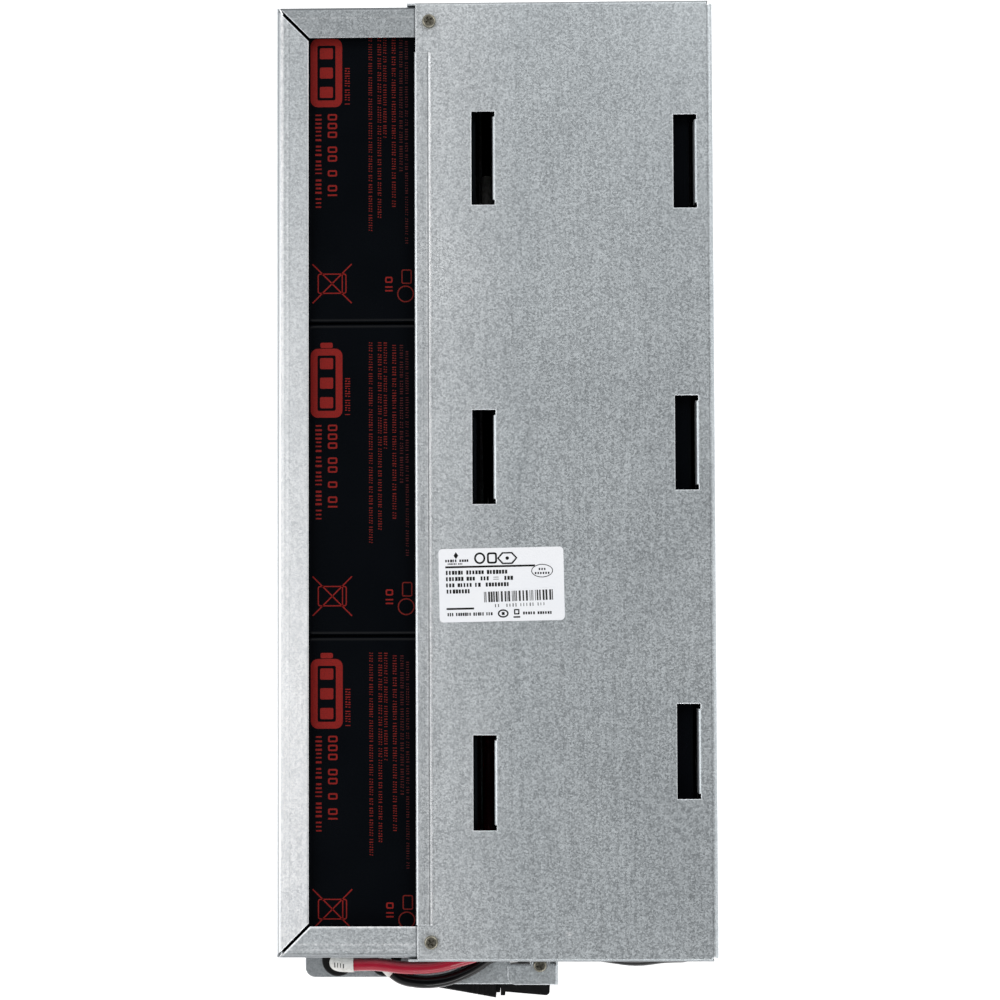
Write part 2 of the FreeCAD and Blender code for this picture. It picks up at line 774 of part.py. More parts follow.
def wire_start(row, block, level, direction):
    """Where a wire meets the end of its receptacle's barrel."""
    lid, y, z = terminal_place(row, block, level)
    return lid + wire_offset, y + direction * barrel_end, z


def channel_jumper(row, front, rear, bow):
    """The route of a jumper between neighbouring blocks; bow moves its middle across the channel."""
    x, y0, z0 = wire_start(row, front, "upper", 1)
    _, y1, z1 = wire_start(row, rear, "lower", -1)
    return [(x, y0, z0), (x, y0 + straight_end, z0), (x + bow, (y0 + y1) / 2, (z0 + z1) / 2),
            (x, y1 - straight_end, z1), (x, y1, z1)]


def crossing_jumper():
    """The route of the jumper from the first row's rear block over to the second row."""
    last = blocks_per_row - 1
    x0, y0, z0 = wire_start(0, last, "upper", -1)
    x1, y1, z1 = wire_start(1, last, "upper", 1)
    over = (block_top + cover_under) / 2
    crossing_y = block_centres[last] + crossing_offset
    return [(x0, y0, z0), (x0, crossing_y, z0), (x0, crossing_y, over), (x1, crossing_y, over),
            (x1, crossing_y - 2, z1), (x1, y1, z1)]


def jumper_routes():
    """Every jumper's name and route, in order round the series circuit."""
    return {
        "jumper_front_left": channel_jumper(0, 0, 1, jumper_bows[0]),
        "jumper_rear_left": channel_jumper(0, 1, 2, jumper_bows[1]),
        "jumper_crossing": crossing_jumper(),
        "jumper_rear_right": channel_jumper(1, 1, 2, jumper_bows[2]),
        "jumper_front_right": channel_jumper(1, 0, 1, jumper_bows[3]),
    }


# ---------------------------------------------------------------- leads to the plug
def off_shelf(across, out, up):
    """A point by its distances from the shelf's left end and from the front wall, and its height."""
    return shelf_left + across, front_wall - out, up


def red_route():
    """The positive lead, from the plug up through its grommet and down into the centre channel."""
    z = plug_axis_z - lead_stack / 2
    x = shelf_left + grommet_insets[0]
    ex, ez = red_exit
    end = wire_start(0, 0, "lower", -1)
    floor = sheet + lead_diameter / 2 + 2 * lead_clearance
    return [
        (plug_left + plug_socket_depth, plug_axis_y, z), off_shelf(59.0, plug_reach, z),
        off_shelf(49.0, 16.6, 8.6), off_shelf(37.0, 12.6, 6.5), (x, grommet_y, 6.5), (x, grommet_y, 42.0),
        off_shelf(36.0, 7.4, 42.0), off_shelf(51.0, 9.4, 41.6), off_shelf(66.0, 9.1, 40.8),
        (ex + 2.4, front_wall - 2.4, ez + 0.5), (ex + 3.15, front_wall + 16.2, ez - 3.1),
        (end[0] + 0.3, front_wall + 33.2, 16.0), (end[0], front_wall + 53.2, floor + 0.6),
        (end[0], end[1] - 33.0, floor), (end[0], end[1] - 17.0, floor + 4.4), (end[0], end[1] - 6.0, end[2]),
        end,
    ]


def black_route():
    """The negative lead, from the plug along the front wall and into the right channel."""
    z = plug_axis_z + lead_stack / 2
    x = shelf_left + grommet_insets[1]
    end = wire_start(1, 0, "lower", -1)
    return [
        (plug_left + plug_socket_depth, plug_axis_y, z), off_shelf(61.0, plug_reach, z),
        off_shelf(51.4, 12.3, 16.6), (x, grommet_y, 13.6), (x, grommet_y, 35.2),
        off_shelf(47.8, 15.7, 36.0), off_shelf(60.5, 17.4, 36.2), off_shelf(72.0, 16.0, 35.2),
        off_shelf(83.0, 11.6, 32.4), off_shelf(94.6, 4.2, 28.9), off_shelf(118.4, 3.6, 28.7),
        off_shelf(138.4, 4.0, 28.6),
        (end[0] - 30.8, front_wall - 8.1, 27.0), (end[0] - 16.3, front_wall - 7.2, 20.5),
        (end[0], front_wall - 7.8, end[2]), end,
    ]


def revolved(points, place, axis):
    """A ring whose half section is a closed polygon of radius and height."""
    face = Part.Face(Part.makePolygon([Vector(r, 0, h) for r, h in points + points[:1]]))
    ring = face.revolve(Vector(0, 0, 0), Vector(0, 0, 1), 360)
    if axis == "y":
        ring.rotate(Vector(0, 0, 0), Vector(1, 0, 0), 90)
    ring.translate(Vector(*place))
    return ring


def shelf_grommet(inset):
    """A rubber grommet in the shelf."""
    bore = lead_diameter / 2 + lead_clearance
    neck = grommet_hole_radius
    rim = grommet_rim
    section = [(bore, -grommet_bottom - shelf_sheet), (neck + grommet_lip, -grommet_bottom - shelf_sheet),
               (neck + grommet_lip, -shelf_sheet), (neck, -shelf_sheet), (neck, 0), (grommet_radius, 0),
               (grommet_radius, grommet_top - rim), (grommet_radius - rim, grommet_top),
               (bore + rim, grommet_top), (bore, grommet_top - rim)]
    return revolved(section, (shelf_left + inset, grommet_y, shelf_top), "z")


def wall_bush(exit_place, radius, bore):
    """A snap bush that lines a lead's hole in the front wall."""
    rim = bush_chamfer
    flange = radius + bush_rim
    section = [(bore, -sheet - bush_lip), (radius + bush_lip, -sheet - bush_lip), (radius + bush_lip, -sheet),
               (radius, -sheet), (radius, 0), (flange, 0), (flange, bush_flange - rim),
               (flange - rim, bush_flange), (bore + rim, bush_flange), (bore, bush_flange - rim)]
    return revolved(section, (exit_place[0], front_wall, exit_place[1]), "y")


# ---------------------------------------------------------------- connector shelf
def connector_shelf():
    """The folded shelf on the front wall, with a rounded outline, grommet holes and a notch."""
    wall = front_wall
    near = wall - shelf_reach
    far = near - shelf_step
    step = shelf_left + shelf_step_start
    outline = [(shelf_left, wall), (shelf_left, near), (step, near), (step + shelf_step_run, far),
               (shelf_right, far), (shelf_right, wall)]
    plate = prism([(x, y, shelf_under) for x, y in outline], (0, 0, shelf_sheet))
    plate = rounded(plate, shelf_corner, lambda e: runs_along(e, 2) and e.BoundBox.YMin < near + 1e-6
                    and e.BoundBox.XMin < shelf_left + 1e-6)
    bend = shelf_flange_bend + shelf_sheet
    low, high = shelf_under - past, shelf_top + past
    plate = plate.cut(box(shelf_left - past, shelf_right + past, wall - bend, wall + past, low, high))
    path = [(wall - bend - past, shelf_top), (wall, shelf_top), (wall, shelf_flange_low)]
    flange = folded(path, shelf_sheet, shelf_flange_bend, lambda a, b: (shelf_left, a, b),
                    (shelf_right - shelf_left, 0, 0))
    shelf = plate.fuse(flange)
    through = shelf_sheet + 2 * past
    cuts = [rod((shelf_left + inset, grommet_y, low), (0, 0, 1), grommet_hole_radius, through)
            for inset in grommet_insets]
    cuts += [rod((shelf_left + inset, wall - shelf_sheet - past, rivet_height), (0, 1, 0),
                 rivet_radius + rivet_clearance, through) for inset in rivet_insets]
    notch = box(dock_left + notch_inset, shelf_right + past, wall - notch_front, wall - notch_back, low, high)
    room = notch_screw_room
    cuts.append(notch.cut(box(clamp_screw_x - room, clamp_screw_x + room, wall - notch_front, wall,
                              low - past, high + past)))
    cuts.append(rod((clamp_screw_x, clamp_screw_y, low), (0, 0, 1), screw_radius + screw_clearance, through))
    return shelf.cut(cuts).removeSplitter()


def blind_rivet(inset):
    """A rivet through the shelf's flange and the front wall."""
    x = shelf_left + inset
    length = shelf_sheet + sheet
    head_y = front_wall - shelf_sheet
    head = rod((x, head_y, rivet_height), (0, -1, 0), rivet_head_radius, rivet_head_height)
    head = bevelled(head, head_rounding * rivet_head_height,
                    lambda e: e.BoundBox.YMax < head_y - rivet_head_height + 1e-6)
    shank = rod((x, head_y, rivet_height), (0, 1, 0), rivet_radius, length)
    bulb = rod((x, head_y + length, rivet_height), (0, 1, 0), rivet_bulb_radius, rivet_bulb_height)
    return head.fuse(shank).fuse(bulb)


def hood_outline(half_left, half_right, left, right):
    """The plan of the plug's tapered hood."""
    y = plug_axis_y
    return [(left, y - half_left), (right, y - half_right), (right, y + half_right), (left, y + half_left)]


def power_plug():
    """The two-pole plug: a tapered hood over the leads and a nose that enters the dock."""
    low = plug_axis_z - plug_height / 2
    hood = prism([(x, y, low) for x, y in hood_outline(hood_narrow, hood_wide, plug_left, plug_right)],
                 (0, 0, plug_height))
    hood = rounded(hood, hood_rounding, lambda e: e.BoundBox.XMin < plug_right - 1e-6)
    body = hood
    for end, half, height in ((plug_right + neck_length, neck_half_width, neck_height),
                              (plug_nose_end, nose_half_width, nose_height)):
        body = body.fuse(box(plug_right - past, end, plug_axis_y - half, plug_axis_y + half,
                             plug_axis_z - height / 2, plug_axis_z + height / 2))
    # grip ribs across the top and bottom of the hood
    for i in range(grip_ribs):
        x = plug_right - first_rib - rib_pitch * i
        for z in (low, low + plug_height):
            body = body.cut(rod((x, plug_axis_y - hood_wide - past, z), (0, 1, 0), groove,
                                2 * (hood_wide + past)))
    for z in (plug_axis_z - lead_stack / 2, plug_axis_z + lead_stack / 2):
        mouth = rod((plug_left - past, plug_axis_y, z), (1, 0, 0), lead_diameter / 2 + marker_clearance,
                    plug_socket_depth + past)
        contact = rod((plug_left, plug_axis_y, z), (1, 0, 0), contact_radius + contact_clearance,
                      plug_nose_end - plug_left + past)
        body = body.cut(mouth).cut(contact)
    return body


def plug_contacts():
    """The two round contacts that the leads end in."""
    start = plug_left + plug_socket_depth
    length = plug_nose_end - contact_end_gap - start
    return Part.makeCompound([rod((start, plug_axis_y, plug_axis_z + side * lead_stack / 2), (1, 0, 0),
                                  contact_radius, length) for side in (-1, 1)])


def plug_dock():
    """The block under the shelf that the plug is parked in, with a lip round its open end."""
    height = shelf_under - dock_low
    body = dock_left + dock_lip
    outline = [(body - past, -dock_open_half_width), (dock_right - dock_draft, -dock_half_width),
               (dock_right, dock_half_width), (body - past, dock_open_half_width)]
    block = prism([(x, plug_axis_y + y, dock_low) for x, y in outline], (0, 0, height))
    block = rounded(block, dock_corner, lambda e: runs_along(e, 2) and e.BoundBox.XMin > body)
    block = block.fuse(box(dock_left, body, plug_axis_y - dock_lip_half_width,
                           plug_axis_y + dock_lip_half_width, dock_low, shelf_under))
    block = block.fuse(rod((clamp_screw_x, clamp_screw_y, dock_low), (0, 0, 1), dock_boss, height))
    half_y = nose_half_width + dock_clearance
    half_z = nose_height / 2 + dock_clearance
    cavity = box(dock_left - past, plug_nose_end + cavity_spare, plug_axis_y - half_y, plug_axis_y + half_y,
                 plug_axis_z - half_z, plug_axis_z + half_z)
    thread = rod((clamp_screw_x, clamp_screw_y, shelf_under - clamp_screw_length), (0, 0, 1),
                 screw_radius + rivet_clearance, clamp_screw_length + past)
    return block.cut([cavity, thread])


def dock_clamp():
    """The folded clip that hangs from the shelf's end and holds the dock up against it."""
    top = shelf_top + clamp_sheet
    foot = dock_low - clamp_sheet
    left = dock_left + clamp_inset
    right = shelf_right + clamp_room + clamp_sheet
    back, front = front_wall - clamp_back, front_wall - clamp_front
    path = [(left, top), (right, top), (right, foot), (dock_left + clamp_foot_inset, foot)]
    clip = folded(path, clamp_sheet, clamp_bend_inside, lambda a, b: (a, front, b), (0, back - front, 0))
    clip = rounded(clip, clamp_corner, lambda e: runs_along(e, 2) and e.BoundBox.XMax < left + 1e-6
                   and e.BoundBox.YMax < front + 1e-6)
    ear = rod((clamp_screw_x, clamp_screw_y, shelf_top), (0, 0, 1), clamp_ear, clamp_sheet)
    hole = rod((clamp_screw_x, clamp_screw_y, shelf_top - past), (0, 0, 1), screw_radius + screw_clearance,
               clamp_sheet + 2 * past)
    return clip.fuse(ear).cut(hole).removeSplitter()


# ---------------------------------------------------------------- labels
def label_plate(size, thickness, corner):
    """A thin rounded label, flat on the XY plane about the origin."""
    plate = box(-size[0] / 2, size[0] / 2, -size[1] / 2, size[1] / 2, 0, thickness)
    return rounded(plate, corner, lambda e: runs_along(e, 2))


def rating_label():
    """The large label on the cover, turned a little."""
    label = label_plate(label_size, label_thickness, label_corner)
    label.rotate(Vector(0, 0, 0), Vector(0, 0, 1), label_turn)
    label.translate(Vector(label_centre[0], label_centre[1], cover_top))
    return label


def serial_label():
    """The small label that sticks on the large one, with a turn of its own."""
    label = label_plate(sticker_size, sticker_thickness, sticker_corner)
    label.rotate(Vector(0, 0, 0), Vector(0, 0, 1), sticker_turn)
    turn = math.radians(label_turn)
    across, along = sticker_offset
    label.translate(Vector(label_centre[0] + across * math.cos(turn) - along * math.sin(turn),
                           label_centre[1] + across * math.sin(turn) + along * math.cos(turn),
                           cover_top + label_thickness))
    return label


# ---------------------------------------------------------------- all pieces
def placed_screws():
    """The cover's two screws."""
    screws = []
    for x, y in cover_screw_places():
        screw = pan_screw(cover_screw_length)
        screw.rotate(Vector(0, 0, 0), Vector(0, 0, 1), cover_screw_turn)
        screw.translate(Vector(x, y, cover_top))
        screws.append(screw)
    return Part.makeCompound(screws)


def clamp_screw():
    """The screw that holds the dock clamp to the shelf."""
    screw = pan_screw(clamp_screw_length)
    screw.rotate(Vector(0, 0, 0), Vector(0, 0, 1), clamp_screw_turn)
    screw.translate(Vector(clamp_screw_x, clamp_screw_y, shelf_top + clamp_sheet))
    return screw


def build():
    """Every node's name and shape."""
    parts = {"battery_tray": battery_tray(), "top_cover": top_cover()}
    block, blades = battery_block(), terminal_blades()
    for row in (0, 1):
        for index, centre in enumerate(block_centres):
            number = row * blocks_per_row + index + 1
            parts["battery_%d" % number] = place_block(block, row, centre)
            parts["battery_%d_terminals" % number] = place_block(blades, row, centre)
    parts["tab_receptacles"] = at_every_terminal(receptacle())
    parts["receptacle_boots"] = at_every_terminal(boot())
    routes = jumper_routes()
    for name, route in routes.items():
        limit = crossing_radius if name == "jumper_crossing" else bend_limit
        parts[name] = cable(name, route, jumper_diameter, limit)
    parts["red_lead"] = cable("red_lead", red_route(), lead_diameter)
    parts["black_lead"] = cable("black_lead", black_route(), lead_diameter)
    parts["red_lead_marker"] = marker(red_route(), red_marker_span, lead_diameter)
    parts["black_lead_marker"] = marker(black_route(), black_marker_span, lead_diameter)
    parts["jumper_markers"] = Part.makeCompound([
        marker(routes[name], span, jumper_diameter)
        for name, span in zip(("jumper_front_left", "jumper_rear_left"), jumper_marker_spans)])
    parts["shelf_grommets"] = Part.makeCompound([shelf_grommet(inset) for inset in grommet_insets])
    parts["red_lead_bush"] = wall_bush(red_exit, red_bush_radius, red_bush_bore)
    parts["black_lead_bush"] = wall_bush(black_exit, black_bush_radius, black_bush_bore)
    parts["connector_shelf"] = connector_shelf()
    parts["shelf_rivets"] = Part.makeCompound([blind_rivet(inset) for inset in rivet_insets])
    parts["power_plug"] = power_plug()
    parts["plug_contacts"] = plug_contacts()
    parts["plug_dock"] = plug_dock()
    parts["dock_clamp"] = dock_clamp()
    parts["clamp_screw"] = clamp_screw()
    parts["cover_screws"] = placed_screws()
    parts["rating_label"] = rating_label()
    parts["serial_label"] = serial_label()
    return parts


os.makedirs("parts", exist_ok=True)
for node, shape in build().items():
    shape.exportStep("parts/%s.step" % node)
    print(node, "solids", len(shape.Solids), "valid", shape.isValid(), "volume %.0f" % shape.Volume)
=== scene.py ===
import json
import math
import random

import bmesh
import bpy
from mathutils import Matrix, Vector

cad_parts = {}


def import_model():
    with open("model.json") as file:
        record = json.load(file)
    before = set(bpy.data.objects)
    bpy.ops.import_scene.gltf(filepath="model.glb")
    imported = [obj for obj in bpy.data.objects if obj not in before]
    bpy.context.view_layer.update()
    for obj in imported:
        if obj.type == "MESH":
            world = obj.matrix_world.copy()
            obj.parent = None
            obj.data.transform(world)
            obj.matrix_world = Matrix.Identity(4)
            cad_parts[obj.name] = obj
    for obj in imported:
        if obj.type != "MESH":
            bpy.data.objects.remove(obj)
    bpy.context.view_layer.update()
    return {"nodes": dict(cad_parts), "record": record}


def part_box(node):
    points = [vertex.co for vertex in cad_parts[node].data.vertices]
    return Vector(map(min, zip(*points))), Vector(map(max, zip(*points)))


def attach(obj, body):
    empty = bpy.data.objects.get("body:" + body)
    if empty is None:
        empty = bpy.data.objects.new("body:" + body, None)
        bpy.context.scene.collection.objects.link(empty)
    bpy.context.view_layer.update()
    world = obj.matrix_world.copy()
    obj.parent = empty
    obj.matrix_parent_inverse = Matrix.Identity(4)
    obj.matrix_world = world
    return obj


# UPS battery cartridge: finishes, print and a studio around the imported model.
# Metres. +X runs across the tray towards the covered side, +Y towards the rear end, +Z up.

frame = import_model()

MM = 0.001

# ---------------------------------------------------------------- sizes of the folded sheets
LEFT_FLANGE = 15.4 * MM
END_FLANGE = 15.0 * MM
HEM_FROM_BOX = 3.8 * MM                      # the end flanges reach further left than the hem's fold
HEM_WIDTH = 7.4 * MM
HEM_FRONT_INSET = 17.6 * MM
HEM_REAR_INSET = 24.5 * MM

# ---------------------------------------------------------------- studio
CAMERA_PLACE = (0.0257, -0.0552, 1.171)
CAMERA_TILT = (0.0405, 0.0214, -0.0045)      # about X, Y and Z, radians
CAMERA_LENS = 82.5                           # mm
CAMERA_SENSOR = 36.0                         # mm
CAMERA_REACH = 20.0                          # how far the camera sees

SOFTBOXES = (                                # name, place, width and height, watts
    ("left_softbox", (-0.95, 0.0, 1.05), (0.9, 1.2), 8.5),
    ("rear_softbox", (0.85, 1.10, 1.40), (1.2, 0.8), 13.5),
    ("right_softbox", (0.95, -0.95, 0.6), (0.7, 0.7), 3),
    ("front_softbox", (0.35, -1.18, 0.75), (0.8, 0.3), 3.5),
)
ROOM_LEVEL = 0.55                            # of the room's white, for what isn't a mirror image
OVERHEAD_LEVEL = 0.03
OVERHEAD_FROM, OVERHEAD_FULL = 0.70, 0.95    # heights on the unit sphere

FLOOR_HALF = 3.0
FLOOR_WHITE = 0.9
FLOOR_GLOW = 0.60                            # added for the camera, mirrors and glass
FLOOR_INSET = 1.5 * MM                       # how far the floor runs in under the tray's bends


# ---------------------------------------------------------------- node graphs
class Graph:
    """The nodes behind the shader of a material or a world."""

    def __init__(self, owner, shader="Principled BSDF", coordinates="Object"):
        owner.use_nodes = True
        self.owner, self.tree = owner, owner.node_tree
        self.shader = self.tree.nodes[shader]
        self.coordinates = self.node("ShaderNodeTexCoord").outputs[coordinates]

    def node(self, kind, **settings):
        made = self.tree.nodes.new(kind)
        for key, value in settings.items():
            setattr(made, key, value)
        return made

    def feed(self, socket, value):
        """Link an output to a socket, or set the socket's own value."""
        if isinstance(value, bpy.types.NodeSocket):
            self.tree.links.new(value, socket)
        elif isinstance(value, (tuple, list)) and len(value) == 3 and socket.type == "RGBA":
            socket.default_value = (*value, 1.0)
        else:
            socket.default_value = value

    def set(self, **values):
        """Feed the shader's sockets; underscores stand for spaces."""
        for key, value in values.items():
            self.feed(self.shader.inputs[key.replace("_", " ")], value)
        return self.owner

    def calc(self, operation, first, second=None, clamp=False):
        made = self.node("ShaderNodeMath", operation=operation, use_clamp=clamp)
        self.feed(made.inputs[0], first)
        if second is not None:
            self.feed(made.inputs[1], second)
        return made.outputs[0]

    def times(self, found, *factors):
        for factor in factors:
            found = self.calc("MULTIPLY", found, factor)
        return found

    def added(self, found, *parts):
        for part in parts:
            found = self.calc("ADD", found, part)
        return found

    def total(self, *parts):
        """The sum, but no more than 1."""
        return self.calc("MINIMUM", self.added(*parts), 1.0)

    def remap(self, value, low, high, new_low, new_high):
        made = self.node("ShaderNodeMapRange")
        for socket, number in zip(made.inputs, (value, low, high, new_low, new_high)):
            self.feed(socket, number)
        return made.outputs[0]

    def blend(self, amount, first, second):
        """A colour between two colours."""
        made = self.node("ShaderNodeMix", data_type="RGBA")
        self.feed(made.inputs["Factor"], amount)
        self.feed(made.inputs["A"], first)
        self.feed(made.inputs["B"], second)
        return made.outputs["Result"]

    def split(self, vector):
        made = self.node("ShaderNodeSeparateXYZ")
        self.feed(made.inputs[0], vector)
        return made.outputs

    def axis(self, letter):
        """The place along an axis."""
        if not hasattr(self, "axes"):
            self.axes = self.split(self.coordinates)
        return self.axes[letter]

    def facing(self, letter):
        """How far the surface faces along an axis, from -1 to 1."""
        return self.split(self.node("ShaderNodeNewGeometry").outputs["Normal"])[letter]

    def mapped(self, scale, shift=0.0):
        """The coordinates scaled along each axis, and shifted for another run of the same noise."""
        made = self.node("ShaderNodeMapping")
        self.feed(made.inputs["Vector"], self.coordinates)
        self.feed(made.inputs["Scale"], scale)
        self.feed(made.inputs["Location"], (shift, shift, shift))
        return made.outputs[0]

    def noise(self, scale, detail=3.0, roughness=0.5, vector=None):
        made = self.node("ShaderNodeTexNoise")
        self.feed(made.inputs["Vector"], vector or self.coordinates)
        self.feed(made.inputs["Scale"], scale)
        self.feed(made.inputs["Detail"], detail)
        self.feed(made.inputs["Roughness"], roughness)
        return made.outputs["Fac"]

    def cells(self, scale):
        """A random number in each cell of a fine crystal pattern."""
        made = self.node("ShaderNodeTexVoronoi")
        self.feed(made.inputs["Vector"], self.coordinates)
        self.feed(made.inputs["Scale"], scale)
        parts = self.node("ShaderNodeSeparateColor")
        self.feed(parts.inputs[0], made.outputs["Color"])
        return parts.outputs[0]

    def bump(self, height, distance, strength, normal=None):
        made = self.node("ShaderNodeBump")
        self.feed(made.inputs["Height"], height)
        self.feed(made.inputs["Distance"], distance)
        self.feed(made.inputs["Strength"], strength)
        if normal is not None:
            self.feed(made.inputs["Normal"], normal)
        return made.outputs["Normal"]

    def peak(self, distance, half_width):
        """1 where a distance is 0, falling to 0 at half_width either way."""
        away = self.calc("DIVIDE", self.calc("ABSOLUTE", distance), half_width)
        return self.calc("SUBTRACT", 1.0, away, clamp=True)

    def line(self, letter, place, half_width, strength=1.0):
        """A straight line across an axis, as strong as given in its middle and 0 at its sides."""
        drawn = self.peak(self.calc("SUBTRACT", self.axis(letter), place), half_width)
        return self.times(drawn, strength)

    def dashes(self, letter, place, half_width, strength, along, seed):
        """A line that comes and goes along another axis."""
        scale = [0.0, 0.0, 0.0]
        scale["XYZ".index(along)] = DASHES_PER_METRE
        run = self.noise(1.0, detail=2.0, vector=self.mapped(scale, seed))
        return self.times(self.line(letter, place, half_width),
                          self.remap(run, 0.40, 0.62, strength / 4, strength))

    def between(self, letter, low, high, soft=0.2 * MM):
        """1 between two places along an axis and 0 outside them."""
        rise = self.remap(self.axis(letter), low - soft, low + soft, 0.0, 1.0)
        fall = self.remap(self.axis(letter), high - soft, high + soft, 1.0, 0.0)
        return self.times(rise, fall)

    def edges(self, radius):
        """A normal rounded over the edges, and how much of the surface is on an edge."""
        bevel = self.node("ShaderNodeBevel", samples=6)
        self.feed(bevel.inputs["Radius"], radius)
        dot = self.node("ShaderNodeVectorMath", operation="DOT_PRODUCT")
        self.feed(dot.inputs[0], bevel.outputs["Normal"])
        self.feed(dot.inputs[1], self.node("ShaderNodeNewGeometry").outputs["Normal"])
        return bevel.outputs["Normal"], self.remap(dot.outputs["Value"], 0.99, 0.86, 0.0, 1.0)


def material_graph(name):
    return Graph(bpy.data.materials.new(name))


# ---------------------------------------------------------------- sheet metal
ZINC = ((0.34, 0.37, 0.39), (0.61, 0.65, 0.67))              # the grain's darkest and lightest
# the lighter zinc of painted highlights and the darker zinc of painted shade, which also draw dotted
# lines and spots
HIGHLIGHT_AND_MARK_ZINC = ((0.82, 0.85, 0.88), (1.0, 1.0, 1.0))
SHADE_AND_MARK_ZINC = (0.16, 0.17, 0.18)
# near white, painted on every edge of the sheet as a highlight
EDGE_HIGHLIGHT = (0.92, 0.95, 0.98)
EDGE_RADIUS = 0.8 * MM
DASHES_PER_METRE = 420.0


def galvanised_sheet(name="galvanised_sheet", marks=None):
    """Hot-dip galvanised steel: a fine grey grain, soft clouds, rubbed streaks and a painted edge
    highlight.

    marks gives, for a sheet, where it takes painted highlights and painted shade, and its dotted lines
    and spots.
    """
    g = material_graph(name)
    grain = g.noise(2100, detail=2.0, roughness=0.6)
    crystals = g.cells(1500)
    clouds = g.noise(16, roughness=0.55)
    streaks = g.noise(1.0, roughness=0.6, vector=g.mapped((900, 25, 900)))
    tone = g.added(g.times(grain, 0.40), g.times(crystals, 0.30), g.times(clouds, 0.30))
    tone = g.remap(tone, 0.25, 0.75, 0.0, 1.0)
    normal, edge = g.edges(EDGE_RADIUS)
    # every edge is blended towards near white: a painted highlight on top of the Bevel node's rounded
    # normal
    colour = g.blend(g.times(edge, 0.75), g.blend(tone, *ZINC), EDGE_HIGHLIGHT)
    if marks:
        # painted highlights and painted shade, with the dotted lines and spots
        light, dark = marks(g)
        colour = g.blend(light, colour, g.blend(tone, *HIGHLIGHT_AND_MARK_ZINC))
        colour = g.blend(dark, colour, SHADE_AND_MARK_ZINC)
    rough = g.added(g.remap(crystals, 0.0, 1.0, 0.40, 0.52), g.remap(streaks, 0.3, 0.7, -0.03, 0.03))
    rough = g.calc("SUBTRACT", rough, g.times(edge, 0.15))
    height = g.added(grain, g.times(crystals, 0.3))
    return g.set(Base_Color=colour, Metallic=0.88, Roughness=rough,
                 Normal=g.bump(height, 0.015 * MM, 0.6, normal))


def speck(g, x, y, half_length, half_width, strength):
    """A small spot with soft sides, for a bright or a dark mark."""
    return g.times(g.line("X", x, half_length), g.line("Y", y, half_width), strength)


def shaded_bends(g):
    """Painted shade on the upper folds that face the front and the rear."""
    high = g.between("Z", 68.5 * MM, 71.9 * MM, 0.4 * MM)
    return g.times(high, g.remap(g.calc("ABSOLUTE", g.facing("Y")), 0.15, 0.5, 0.0, 0.75))


def tray_flanges(g, low, high):
    """1 on the left flange, 1 on the end flanges, and how far a point lies past the front mitre."""
    from_left = g.calc("SUBTRACT", g.axis("X"), low.x)
    from_front = g.calc("SUBTRACT", g.axis("Y"), low.y)
    from_rear = g.calc("SUBTRACT", high.y, g.axis("Y"))
    top = g.remap(g.axis("Z"), high.z - 2.2 * MM, high.z - 1.2 * MM, 0.0, 1.0)
    left = g.times(g.calc("LESS_THAN", from_left, from_front), g.calc("LESS_THAN", from_left, from_rear))
    past_front_mitre = g.calc("SUBTRACT", from_left, from_front)
    return g.times(top, left), g.times(top, g.calc("SUBTRACT", 1.0, left)), past_front_mitre


def tray_marks(g):
    """Painted light on the left flange, stronger towards the front, and over the front flange; painted
    highlights along the bends, the front mitre and the cut edges round the window; painted shade on
    the outer folds and at the rear flange's cut edge; a painted shadow along the cover's edge; and
    dotted lines along the flanges.
    """
    low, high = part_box("battery_tray")
    left, end, past_front_mitre = tray_flanges(g, low, high)
    from_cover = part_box("top_cover")[0].x
    left_edge, front_edge, rear_edge = low.x + LEFT_FLANGE, low.y + END_FLANGE, high.y - END_FLANGE
    # painted light and highlights: lighter towards the front on the left flange, along its bend and its
    # cut edge, over the front flange, along its cut edge and the mitre; the dashes are dotted lines
    light = g.total(
        g.times(left, g.added(
            g.remap(g.axis("Y"), low.y + 110 * MM, high.y - 40 * MM, 0.95, 0.1),
            g.line("X", low.x + 2.6 * MM, 1.2 * MM),
            g.dashes("X", low.x + 5.2 * MM, 0.8 * MM, 0.4, along="Y", seed=2.0),
            g.line("X", left_edge + 0.1 * MM, 0.6 * MM))),
        g.times(end, g.added(
            g.line("Y", front_edge - 0.4 * MM, 0.7 * MM),
            g.peak(g.calc("SUBTRACT", past_front_mitre, 1.7 * MM), 0.9 * MM),
            g.remap(g.axis("Y"), front_edge + 0.2 * MM, front_edge + 0.4 * MM, 0.15, 0.0),
            g.dashes("Y", low.y + 6.4 * MM, 0.9 * MM, 0.6, along="X", seed=5.0),
            g.dashes("Y", low.y + 3.9 * MM, 0.7 * MM, 0.5, along="X", seed=9.0),
            g.dashes("Y", high.y - 5.3 * MM, 0.5 * MM, 0.5, along="X", seed=13.0))))
    # painted shade on the outer folds, beside the left flange's cut edge and at the rear flange's cut
    # edge; the dashes are dotted lines
    dark = g.total(
        shaded_bends(g),
        g.times(left, g.added(
            g.line("X", low.x + 1.0 * MM, 0.9 * MM, 0.75),
            g.line("X", left_edge - 0.5 * MM, 0.35 * MM, 0.4),
            g.dashes("X", low.x + 6.2 * MM, 0.4 * MM, 0.25, along="Y", seed=3.0))),
        g.times(end, g.added(
            g.line("Y", low.y + 2.0 * MM, 0.7 * MM, 0.5),
            # painted shadow of the cover's free edge on the end flanges
            g.line("X", from_cover + 3.9 * MM, 0.7 * MM, 0.6),
            g.remap(g.axis("Y"), rear_edge, rear_edge - 0.2 * MM, 0.30, 0.0))))
    return light, dark


